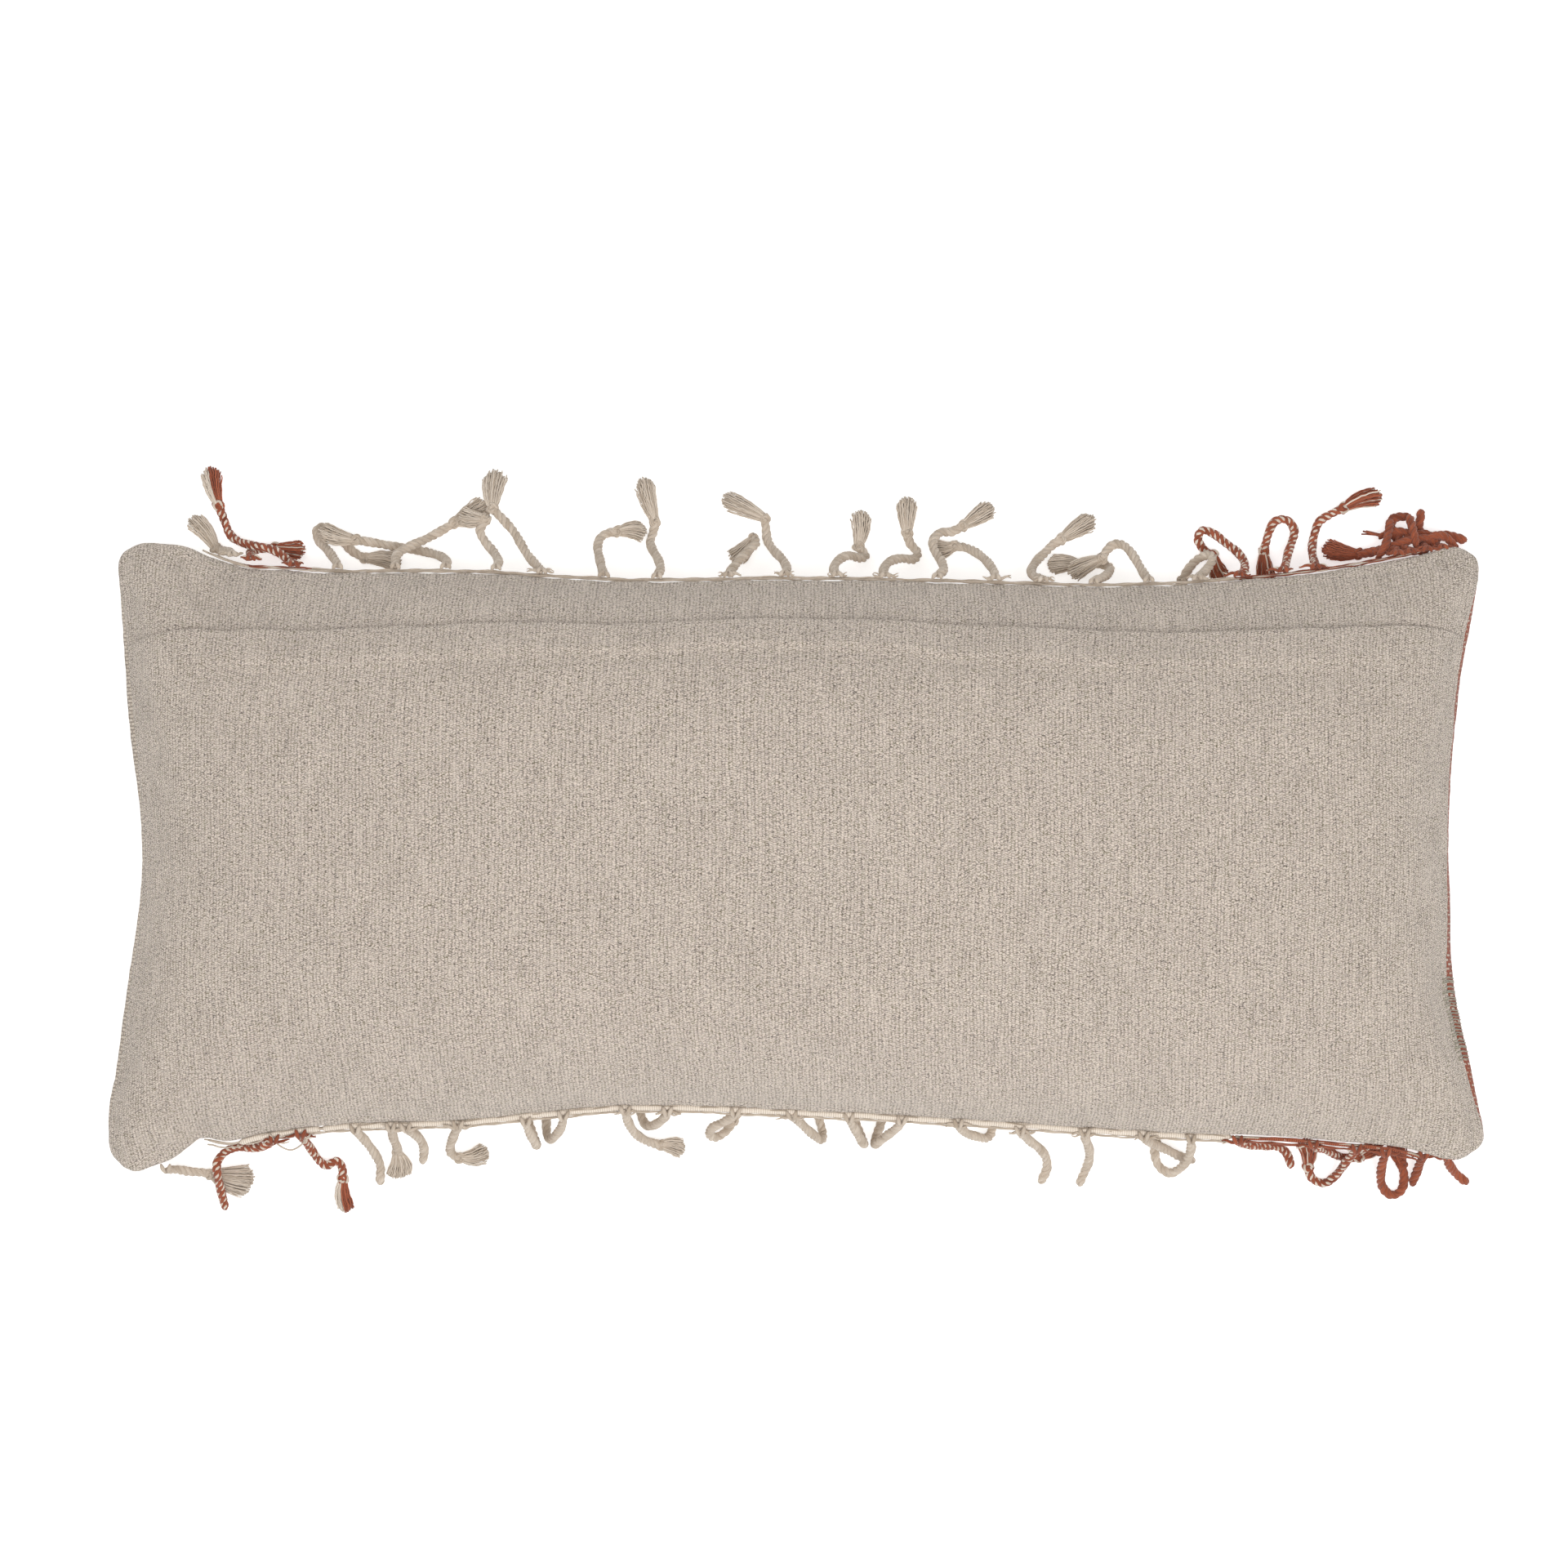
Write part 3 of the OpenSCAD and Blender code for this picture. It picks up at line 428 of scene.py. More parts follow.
# The weave's floats: a column's width, the step from one float to the next, and how far they lean
FLOAT_COLUMN, FLOAT_ROW, FLOAT_LEAN = 2.28, 1.5, 0.35


def floats(g, place, seed_noise):
    """Short leaning floats in staggered columns: 1 on a float's middle, below 0 in the gaps between them."""
    split = g.node("SeparateXYZ", {0: place})
    x = g.math("DIVIDE", split.outputs[0], FLOAT_COLUMN)
    odd = g.math("FLOORED_MODULO", g.math("FLOOR", x), 2.0)
    across = g.math("SUBTRACT", g.math("FRACT", x), 0.5)
    lean = g.math("MULTIPLY", g.math("MULTIPLY_ADD", odd, 2.0, -1.0), FLOAT_LEAN)
    y = g.math("ADD", g.math("DIVIDE", split.outputs[1], FLOAT_ROW), g.math("MULTIPLY", odd, 0.5))
    along = g.math("SUBTRACT", g.math("FRACT", g.math("MULTIPLY_ADD", across, lean, y)), 0.5)
    wide = g.math("MULTIPLY", g.math("MULTIPLY", across, across), 2.9)
    tall = g.math("MULTIPLY", g.math("MULTIPLY", along, along), 5.6)
    shape = g.math("SUBTRACT", 1.0, g.math("ADD", wide, tall))
    return g.math("ADD", shape, g.math("MULTIPLY_ADD", seed_noise, 3.4, -1.7))


def slub_weave(name, pale, mid, gap, olive):
    """Weave of uneven hand-spun yarn: short pale floats in staggered columns, with darker specks between."""
    g = Graph(name)
    field = g.field()
    wander = g.vector("SUBTRACT", g.noise(field, 0.07, 2).outputs["Color"], (0.5, 0.5, 0.5))
    jitter = g.vector("SUBTRACT", g.noise(field, 0.6, 1).outputs["Color"], (0.5, 0.5, 0.5))
    warped = g.vector("ADD", field, g.vector("MULTIPLY", wander, (3.0, 5.0, 0)))
    warped = g.vector("ADD", warped, g.vector("MULTIPLY", jitter, (2.2, 2.2, 0)))
    flat = g.vector("MULTIPLY", field, (1, 1, 0))
    grain = g.noise(flat, 0.62, 3, 0.6).outputs["Fac"]
    shape = floats(g, warped, grain)
    specks = g.noise(g.vector("MULTIPLY", field, (1.0, 1.4, 0)), 0.33, 2).outputs["Fac"]
    hollow = g.mixed(g.ranged(specks, 0.42, 0.6, 0.0, 1.0), mid, gap)
    hollow = g.mixed(g.ranged(g.noise(flat, 0.21, 2).outputs["Fac"], 0.5, 0.62, 0.0, 0.8), hollow, olive)
    color = g.mixed(g.ranged(shape, -0.55, 1.0, 0.0, 1.0), hollow, pale)
    slub = g.noise(g.vector("MULTIPLY", field, (1.0, 0.08, 0)), 0.42, 3).outputs["Fac"]
    color = g.mixed(g.ranged(slub, 0.5, 0.72, 0.0, 0.34), color, pale)
    color = g.mixed(g.ranged(slub, 0.45, 0.3, 0.0, 0.16), color, gap)
    broad = g.noise(flat, 0.02, 3).outputs["Fac"]
    shade = g.ranged(broad, 0.3, 0.7, 0.96, 1.02)
    color = g.mixed(1.0, color, g.node("CombineColor", {0: shade, 1: shade, 2: shade}).outputs[0], "MULTIPLY")
    fuzz = g.noise(flat, 1.3, 3).outputs["Fac"]
    height = g.math("MULTIPLY_ADD", fuzz, 0.5, g.ranged(shape, -0.6, 0.9, 0.0, 1.0))
    return g.finish(color, height, 0.92, 0.7, 0.0004)


# The front's bands across the pillow, in mm from its middle: linked rust and cream, and solid rust
LINKED_BANDS = [(-370, -327), (292, 359), (425, 900)]
RUST_BAND = (359, 425)


def striped_weave(name, cream, rust, deep):
    """The hand-woven front: cream ribbed cloth with bands of rust and cream links near the two ends."""
    g = Graph(name)
    field = g.field()
    split = g.node("SeparateXYZ", {0: field})
    jitter = g.vector("SUBTRACT", g.noise(field, 0.3, 2).outputs["Color"], (0.5, 0.5, 0.5))
    warped = g.vector("ADD", field, g.vector("MULTIPLY", jitter, (0.9, 0.9, 0)))
    warped = g.vector("MULTIPLY", warped, (1, 1, 0))

    def links(width, row, gap, soft, bias, one, other, between):
        inputs = {
            "Vector": warped, "Scale": 1.0, "Mortar Size": gap, "Mortar Smooth": soft, "Bias": bias,
            "Brick Width": width, "Row Height": row, "Color1": one, "Color2": other, "Mortar": between,
        }
        return g.node("TexBrick", inputs, offset=0.5, offset_frequency=2)

    def band(low, high):
        x = split.outputs[0]
        return g.math("MULTIPLY", g.math("GREATER_THAN", x, low), g.math("LESS_THAN", x, high))

    ribs = links(5.5, 2.6, 0.5, 0.8, 0.0, cream, rgb(204, 190, 174), rgb(170, 154, 138))
    chain = links(4.2, 3.0, 0.95, 0.4, 0.1, cream, rgb(172, 118, 92), rgb(146, 74, 50))
    solid = links(5.5, 2.6, 0.45, 0.9, 0.0, rust, rgb(158, 98, 74), deep)
    left, right, edge = (band(*ends) for ends in LINKED_BANDS)
    linked = g.math("ADD", g.math("ADD", left, right), edge)
    color = g.mixed(linked, ribs.outputs["Color"], chain.outputs["Color"])
    color = g.mixed(band(*RUST_BAND), color, solid.outputs["Color"])
    between_chain = g.math("MULTIPLY", linked, chain.outputs["Fac"])
    between_ribs = g.math("MULTIPLY", g.math("SUBTRACT", 1.0, linked), ribs.outputs["Fac"])
    between = g.math("ADD", between_chain, between_ribs)
    fuzz = g.noise(g.vector("MULTIPLY", field, (1, 1, 0)), 1.1, 3).outputs["Fac"]
    height = g.math("ADD", g.math("MULTIPLY", fuzz, 0.4), g.math("SUBTRACT", 1.0, between))
    return g.finish(color, height, 0.92, 0.9, 0.0009)


def yarn(name, light, dark, flecks=0.5):
    """Twisted cotton yarn: fine fibres slanting along each strand, darker where strands meet."""
    g = Graph(name)
    field, tone = g.field(), g.tone()
    fibres = g.noise(g.vector("MULTIPLY", field, (0.35, 2.2, 2.2)), 0.9, 3, 0.6).outputs["Fac"]
    patches = g.noise(g.vector("MULTIPLY", field, (1, 1, 1)), 0.09, 2).outputs["Fac"]
    amount = g.math("ADD", g.math("MULTIPLY", fibres, 1 - flecks), g.math("MULTIPLY", patches, flecks))
    amount = g.math("ADD", amount, tone)
    color = g.mixed(g.ranged(amount, 0.3, 0.68, 0.0, 1.0), dark, light)
    return g.finish(color, fibres, 0.9, 0.6, 0.0005, sheen=0.2)


CREAM, CREAM_DARK = rgb(214, 201, 186), rgb(166, 149, 130)
RUST, RUST_DARK = rgb(170, 92, 62), rgb(106, 50, 30)

WEAVE_COLOURS = rgb(219, 206, 194), rgb(146, 133, 119), rgb(82, 72, 63), rgb(110, 102, 76)
back_weave = slub_weave("back_weave", *WEAVE_COLOURS)
front_weave = striped_weave("front_weave", CREAM, RUST, RUST_DARK)
cream_yarn = yarn("cream_yarn", CREAM, CREAM_DARK)
rust_yarn = yarn("rust_yarn", RUST, RUST_DARK)
fleck_yarn = yarn("fleck_yarn", rgb(226, 214, 200), rgb(190, 174, 157))
sewing_thread = yarn("sewing_thread", rgb(204, 194, 182), rgb(168, 157, 144))
overcast_thread = yarn("overcast_thread", rgb(176, 170, 152), rgb(138, 132, 114))

# ---------------------------------------------------------------- fringe

PITCH = 13.0  # along the cord, for one turn of its strands
ROPE_STEP = 1.1
BARE_END = 6  # a cord whose last two points are nearer than this has no tassel
KNOT_SCALE = 0.95
KNOT_STRAND = 1.55
ON_FLOOR = 0.3
GOLDEN_ANGLE = 2.39996


def plies(kind):
    """(distance from the middle, radius, phase, material number, bead length) of each strand in a cord."""
    thick = [(1.5, 1.72, k * 2 * math.pi / 3, 0, 0) for k in range(3)]
    if kind == "mixed":
        thick = [(1.5, 1.5, k * 2 * math.pi / 3, 0, 0) for k in range(3)]
        thick += [(2.05, 1.12, (k + 0.5) * 2 * math.pi / 3, 1, 4.1 + 0.5 * k) for k in range(3)]
    return thick


def rope(build, path, kind, size=1.0, tip=False):
    """Strands laid round a path. Thin strands come up as beads between the thick ones."""
    _, n, b = frames(path)
    s = lengths(path)
    shape = 0.62 + 0.38 * np.clip(s / 6, 0, 1)
    if tip:
        shape = np.minimum(shape, np.sqrt(np.clip((s[-1] - s + 0.25) / 3, 0.02, 1)))
    shape = shape * (1 + 0.06 * np.sin(s / 3.1 + rng.uniform(0, 6)))
    phase = rng.uniform(0, 2 * math.pi)
    for away, radius, turn, slot, bead in plies(kind):
        a = 2 * math.pi * s / PITCH + turn + phase
        swell = np.ones(len(s))
        if bead:
            swell = 0.35 + 0.65 * np.clip(0.62 + np.sin(2 * math.pi * s / bead + rng.uniform(0, 6)), 0, 1)
        girth = radius * size * shape * swell
        middle = path + (away * size * shape * (0.6 + 0.4 * swell))[:, None] * (
            np.cos(a)[:, None] * n + np.sin(a)[:, None] * b
        )
        middle[:, 2] = np.maximum(middle[:, 2], girth + ON_FLOOR)
        tube(build, middle, girth, 8, slot, tone=rng.uniform(-0.05, 0.05))


def knot(build, at, heading, kind):
    """An overhand knot drawn tight: a small trefoil of cord round the cord's line."""
    side = unit(np.cross(heading, [0.03, 0.02, 1]))
    up = np.cross(side, heading)
    a = np.linspace(0, 2 * math.pi, 49)[:-1] + rng.uniform(0, 2)
    around = KNOT_SCALE * (np.sin(a) + 2 * np.sin(2 * a))
    beside = KNOT_SCALE * (np.cos(a) - 2 * np.cos(2 * a))
    along = 1.9 * np.sin(3 * a)
    path = at + around[:, None] * side + beside[:, None] * up - along[:, None] * heading
    path[:, 2] = np.maximum(path[:, 2], KNOT_STRAND + ON_FLOOR)
    slots = [0, 0, 1] if kind == "mixed" else [0, 0, 0]
    _, n, b = frames(path)
    s = lengths(path)
    for k, slot in enumerate(slots):
        turn = 2 * math.pi * s / (s[-1] / 3) + k * 2 * math.pi / 3
        middle = path + 0.8 * (np.cos(turn)[:, None] * n + np.sin(turn)[:, None] * b)
        tube(build, middle, 0.92, 6, slot, tone=rng.uniform(-0.06, 0.04), closed=True)


def tassel(build, at, tip, kind, halves, wide, threads):
    """Cut threads fanning out of the knot. A cord of two colours can keep them on their own sides."""
    reach = np.linalg.norm(tip - at)
    heading = (tip - at) / reach
    side = unit(np.cross(heading, [0.03, 0.02, 1]))
    up = np.cross(side, heading)
    t = np.linspace(0, 1, 11)
    bend = rng.uniform(-1.5, 1.5)
    for k in range(threads):
        ring = math.sqrt((k + 0.5) / threads)
        a = k * GOLDEN_ANGLE
        ends = ring * math.cos(a), ring * math.sin(a)
        start = at + side * ends[0] * 2.2 + up * ends[1] * 2.0
        length = reach * (1 + rng.uniform(-0.09, 0.04) - 0.2 * ends[0] ** 2)
        spread_side = wide * ends[0] * (1 + rng.uniform(-0.08, 0.08))
        spread_up = 3.2 * ends[1]
        open_out = t**0.8 * (1.22 - 0.3 * t)
        size = rng.uniform(0.15, 0.5)
        crimp = size * np.sin(2 * math.pi * (t * length / rng.uniform(5, 8) + rng.uniform(0, 1)))
        sideways = open_out * (spread_side - ends[0] * 2.2) + bend * np.sin(math.pi * t) + crimp * t
        upward = open_out * (spread_up - ends[1] * 2.0)
        path = start + heading * (t * length)[:, None] + side * sideways[:, None] + up * upward[:, None]
        radius = rng.uniform(0.46, 0.64)
        path[:, 2] = np.maximum(path[:, 2], radius + 0.1)
        slot = 1 if kind == "mixed" and (ends[0] * side[0] < -0.1 if halves else k % 6 == 1) else 0
        # Painted light: the threads' tone is set lighter than the cord's, to make up for the shade between
        # them and from the pillow.
        tube(build, path, radius * (1 - 0.15 * t), 5, slot, tone=rng.uniform(-0.08, 0.18))


def hitch(build, at, heading, outward, kind):
    """Two turns of yarn over the header where a cord leaves it, and loose yarn beside them."""
    along = unit(np.cross(outward, [0, 0, 1]))
    t = np.linspace(0, 1, 9)
    inner, outer = (4.6, 1.6) if outward[1] < 0 else (2.2, 1.4)
    for way in (-1, 1):
        start = at - outward * inner + along * (way * rng.uniform(2.6, 3.8))
        end = at + outward * outer + heading * 1.5 + along * (way * 0.9)
        path = start + (end - start) * t[:, None]
        path[:, 2] = at[2] + (1.2 + 1.3 * np.sin(math.pi * t)) + (end[2] - at[2]) * t
        tube(build, path, 1.5 * np.sin(math.pi * (0.14 + 0.74 * t)), 8, 0, tone=rng.uniform(-0.1, 0.05))
    if kind == "cream" and rng.uniform() < 0.5:
        return
    for way in (-1, 1):
        reach = rng.uniform(6, 11)
        for k in range(2):
            wave = 0.9 * np.sin(2 * math.pi * (t * rng.uniform(0.6, 1.1) + rng.uniform(0, 1)))
            path = at + along * (way * reach * t)[:, None] + outward * (wave - 0.6 + 0.8 * k)[:, None]
            path[:, 2] += 0.8 - 0.6 * t
            slot = 1 if kind == "mixed" and k else 0
            radius = (1.1 - 0.4 * k) * np.sin(math.pi * (0.3 + 0.6 * t))
            tube(build, path, radius, 7, slot, tone=rng.uniform(-0.12, 0.0))


# Whether a tassel keeps its colours apart, its half width at the tip, and its threads. Most are plain.
PLAIN_TASSEL = (False, 7.4, 62)
TASSELS = {
    "fringe_top_1": (True, 7.4, 62),
    "fringe_bottom_2": (True, 6.4, 56),
    "fringe_bottom_left_1": (False, 12.5, 100),
    "fringe_bottom_left_2": (False, 10, 84),
    "fringe_top_6": (False, 9, 76),
    "fringe_top_3": (False, 10, 80),
}
KIND_MATERIALS = {
    "cream": [cream_yarn, fleck_yarn],
    "rust": [rust_yarn, rust_yarn],
    "mixed": [rust_yarn, fleck_yarn],
}


def make_cord(name, node, route, kind):
    """One cord of the fringe, with the knot and tassel at its end."""
    route = np.array(route, float)
    bare = np.linalg.norm(route[-1] - route[-2]) < BARE_END
    path = smooth_path(route if bare else route[:-1], ROPE_STEP)
    look = {"materials": KIND_MATERIALS[kind], "slot": "cord_" + kind}
    build = Build()
    rope(build, path, kind, tip=bare)
    line = build.piece(name, **look)
    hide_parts(node)
    heading = unit(route[1] - route[0])
    outward = np.array([0, 1.0 if route[0][1] > 0 else -1.0, 0])
    build = Build()
    hitch(build, route[0], heading, outward, kind)
    pieces = [build.piece(name + "_hitch", **look)]
    if not bare:
        build = Build()
        knot(build, route[-2], unit(path[-1] - path[-4]), kind)
        tassel(build, route[-2], route[-1], kind, *TASSELS.get(name, PLAIN_TASSEL))
        pieces.append(build.piece(name + "_tassel", **look))


def kind_of(side, k):
    """The yarns of cord number k, counted from the left."""
    if side == "top":
        return "cream" if 2 <= k <= 18 else "mixed"
    return "rust" if k == 18 else "cream" if 3 <= k <= 15 else "mixed"


for k, route in enumerate(TOP_CORDS, 1):
    make_cord(f"fringe_top_{k}", f"cord_top_{k}", route, kind_of("top", k))
for k, route in enumerate(BOTTOM_CORDS, 1):
    make_cord(f"fringe_bottom_{k}", f"cord_bottom_{k}", route, kind_of("bottom", k))
GROUPED = [
    ("top_left", "corner_cords_top", CORNER_LEFT, ["cream", "mixed"]),
    ("top_right", "corner_cords_top", CORNER_RIGHT, ["rust"] * 4),
    ("bottom_left", "short_cords_bottom", SHORT_LEFT, ["cream"] * 5),
    ("bottom_right", "short_cords_bottom", SHORT_RIGHT, ["mixed", "rust", "rust"]),
]
for place, node, routes, kinds in GROUPED:
    for k, (route, kind) in enumerate(zip(routes, kinds), 1):
        make_cord(f"fringe_{place}_{k}", node, route, kind)


def make_tangle():
    """The heap of rust cord bunched at the upper right-hand corner."""
    build = Build()
    heap = [
        [(396, 203, 20), (404, 209, 14), (413, 215, 10), (424, 217, 9), (432, 212, 12)],
        [(388, 204, 12), (398, 208, 15), (410, 212, 16), (424, 214, 13), (431, 209, 14)],
        [(392, 215, 8), (404, 219, 8), (416, 216, 10), (427, 208, 12)],
        [(378, 203, 9), (390, 206, 10), (400, 206, 14), (412, 205, 18), (424, 206, 20)],
        [(390, 200, 15), (395, 209, 18), (398, 219, 13), (400, 227, 8)],
        [(416, 207, 18), (414, 217, 18), (412, 230, 10)],
        [(422, 213, 14), (431, 216, 15), (438, 213, 14), (444, 206, 13)],
    ]
    for route in heap:
        rope(build, smooth_path(route, ROPE_STEP), "rust", size=0.94, tip=True)
    for k in range(9):
        tip = (381 + 0.8 * k, 219 + rng.uniform(-2.5, 2.5), 4 + rng.uniform(0, 3))
        start, middle = (408, 215 + rng.uniform(-2, 2), 10), (396, 216 + rng.uniform(-1.5, 1.5), 8)
        path = smooth_path([start, middle, tip], 2.5)
        tube(build, path, rng.uniform(0.45, 0.65), 5, 0, tone=rng.uniform(-0.16, 0.05))
    piece = build.piece("fringe_top_right_heap", KIND_MATERIALS["rust"], slot="cord_rust")
    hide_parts("corner_cords_top")


make_tangle()

# ---------------------------------------------------------------- cloth simulation of the cover

SIM_U, SIM_V = 121, 61
SIM_FRAMES = 20
PRESSURE = 4
MOST_MOVE = 5.0


def swollen_cover():
    """How far each point of the back and front cloth moves, in mm, when the sewn cover is blown up."""
    u, v = np.meshgrid(np.linspace(-1, 1, SIM_U), np.linspace(-1, 1, SIM_V), indexing="ij")
    back, front = back_point(u, v), front_point(u, v)
    index_back = np.arange(SIM_U * SIM_V).reshape(SIM_U, SIM_V)
    index_front = index_back.copy()
    inner = (slice(1, -1), slice(1, -1))
    index_front[inner] = SIM_U * SIM_V + np.arange((SIM_U - 2) * (SIM_V - 2)).reshape(SIM_U - 2, SIM_V - 2)
    points = np.concatenate([back.reshape(-1, 3), front[inner].reshape(-1, 3)]) * MM
    mesh = bpy.data.meshes.new("cover_trial")
    mesh.from_pydata(points.tolist(), [], quads(index_back) + quads(index_front, flip=True))
    mesh.update()
    trial = bpy.data.objects.new("cover_trial", mesh)
    scene = bpy.context.scene
    scene.collection.objects.link(trial)
    held = trial.vertex_groups.new(name="held")
    edge = np.unique(np.concatenate([index_back[0], index_back[-1], index_back[:, 0], index_back[:, -1]]))
    held.add(edge.tolist(), 1.0, "REPLACE")
    cloth = trial.modifiers.new("cloth", "CLOTH")
    settings = cloth.settings
    settings.quality, settings.mass, settings.vertex_group_mass = 5, 0.3, "held"
    settings.use_pressure, settings.uniform_pressure_force = True, PRESSURE
    settings.effector_weights.gravity = 0
    settings.tension_stiffness = settings.compression_stiffness = 15
    settings.bending_stiffness, settings.shrink_min = 0.4, -0.012
    cloth.collision_settings.use_collision = False
    cloth.point_cache.frame_start = 1
    cloth.point_cache.frame_end = SIM_FRAMES
    for now in range(1, SIM_FRAMES + 1):
        scene.frame_set(now)
    shaped = trial.evaluated_get(bpy.context.evaluated_depsgraph_get()).data
    moved = np.empty(len(shaped.vertices) * 3, np.float32)
    shaped.vertices.foreach_get("co", moved)
    move = (moved.reshape(-1, 3) - points) / MM
    bpy.data.objects.remove(trial)
    bpy.data.meshes.remove(mesh)
    scene.frame_set(1)
    far = np.linalg.norm(move, axis=1, keepdims=True)
    print("cover moved", float(far.mean()), float(far.max()))
    move *= MOST_MOVE * np.tanh(far / MOST_MOVE) / np.maximum(far, 1e-6)
    return move[index_back], move[index_front]


BACK_MOVE, FRONT_MOVE = swollen_cover()


def sampled(grid, u, v):
    """A grid of values read between its points."""
    i, j = (np.clip(u, -1, 1) + 1) / 2 * (SIM_U - 1), (np.clip(v, -1, 1) + 1) / 2 * (SIM_V - 1)
    a, b = np.minimum(i.astype(int), SIM_U - 2), np.minimum(j.astype(int), SIM_V - 2)
    s, t = (i - a)[..., None], (j - b)[..., None]
    low, high = mix(grid[a, b], grid[a + 1, b], s), mix(grid[a, b + 1], grid[a + 1, b + 1], s)
    return mix(low, high, t)


# ---------------------------------------------------------------- the cover's cloth

# The closure's two lines wander a little along the pillow: cloth coordinate v at even steps of u
FOLD_LINE = [0.665, 0.682, 0.662, 0.67, 0.692, 0.684, 0.69, 0.708, 0.707]
STITCH_LINE = [0.56, 0.556, 0.525, 0.546, 0.57, 0.54, 0.547, 0.572, 0.59]
UNDERLAP = 0.035
STRIP_SINK_SEEN = 0.8
CORNER_SOFT = 4.5
# Where the short seams leave the smooth outline: side, y, spread along y, and shift in x
FLARES = [
    (1, -85, 45, -5), (1, -190, 22, 5.8), (1, 195, 30, 4.5),
    (-1, -178, 30, -3.8), (-1, 195, 22, -3), (-1, 0, 80, 2.8),
]
# The same for the long seams: side, x, spread along x, and shift in y
RISES = [
    (1, -440, 22, 6), (1, -408, 14, 4), (1, -366, 18, -3), (1, 446, 26, 8.5),
    (-1, -446, 14, -6), (-1, -397, 14, 10), (-1, -365, 30, 2), (-1, 440, 24, -9),
]
# How far the front cloth bulges past the short seams, from the lower corner to the upper one
PEEK_LEFT = [1, 3.5, 4, 3, 3, 4, 4.5, 3, 1]
PEEK_RIGHT = [2, 5.5, 6.5, 4.5, 2.2, 2.4, 3.6, 3.2, 1.5]
# Dents pressed into the back: two ends in plan, depth, and width
CREASES = [
    ((-402, 196), (-376, 150), 4.2, 10),
    ((-376, 150), (-356, 120), 1.8, 9),
    ((392, 186), (372, 150), 1.2, 9),
    ((-424, -170), (-400, -130), 1.3, 9),
    ((420, -160), (398, -120), 1.0, 8),
    ((-330, 180), (-318, 150), 0.9, 7),
]


def fold_at(u):
    return station(FOLD_LINE, (u + 1) / 2)


def stitch_at(u):
    return station(STITCH_LINE, (u + 1) / 2)


def ease(t):
    t = np.clip(t, 0, 1)
    return t * t * (3 - 2 * t)


def ripple(along, seed, waves=(7, 11, 17, 29, 47)):
    """A fixed uneven wave along a line, about from -1 to 1."""
    pick = np.random.default_rng(seed)
    total = 0
    for length in waves:
        total = total + np.sin(2 * np.pi * (along / length + pick.uniform(0, 1))) * pick.uniform(0.5, 1)
    return total / len(waves) * 1.6


def skin(side, u, v):
    """The swollen cover's outer face, before its fine relief."""
    base, move = (back_point, BACK_MOVE) if side == "back" else (front_point, FRONT_MOVE)
    p = base(u, v) + sampled(move, u, v)
    p[..., 2] = np.maximum(p[..., 2], 0)
    return p


def skin_normal(side, u, v, step=0.004):
    """Outward from the skin."""
    across = skin(side, np.minimum(u + step, 1), v) - skin(side, np.maximum(u - step, -1), v)
    along = skin(side, u, np.minimum(v + step, 1)) - skin(side, u, np.maximum(v - step, -1))
    n = unit(np.cross(across, along))
    return n if side == "back" else -n


def seam_distance(side, u, v):
    """Distances to the nearer long side and the nearer short side."""
    p = skin(side, u, v)
    long_side = np.linalg.norm(skin(side, u, np.where(v > 0, 1.0, -1.0)) - p, axis=-1)
    short_side = np.linalg.norm(skin(side, np.where(u > 0, 1.0, -1.0), v) - p, axis=-1)
    return long_side, short_side, p


def lap_height(u, v):
    """The lap stands on its stitched edge, and lies flat past the ends of the zip."""
    t = (v - stitch_at(u)) / (fold_at(u) - stitch_at(u))
    open_part = (1 - 0.7 * ease((np.abs(u) - ZIP_END_U) / 0.12)) * ease((1 - np.abs(u)) / 0.05)
    rise = LAP_RISE * ease((t + 0.12) / 0.34) * open_part
    x, _ = plan(u, v)
    hollow = 0.5 * np.exp(-(((t + 0.2) / 0.16) ** 2)) * (1 + 0.6 * ripple(x, 5, (19, 31, 53)))
    slack = 0.5 * ripple(x, 6, (23, 41, 67)) * np.sin(np.pi * np.clip(t, 0, 1))
    stitch = 0.25 * np.exp(-((t / 0.035) ** 2))
    return rise + (slack - hollow - stitch) * ease((1 - np.abs(u)) / 0.05)


def drift(places, at, across):
    """Local shifts of a pair of seams, given a place along them and how far across the outline it is."""
    total = 0
    for side, middle, reach, amount in places:
        total = total + amount * np.exp(-(((at - middle) / reach) ** 2)) * np.clip(side * across, 0, 1) ** 8
    return total


def shift_seams(p, u, v):
    """Moves points of the cloth with the local shifts of the seams round them."""
    x, y = plan(u, v)
    gu, gv = spread(u, v)
    p[..., 0] += drift(FLARES, y, gu)
    p[..., 1] += drift(RISES, x, gv)


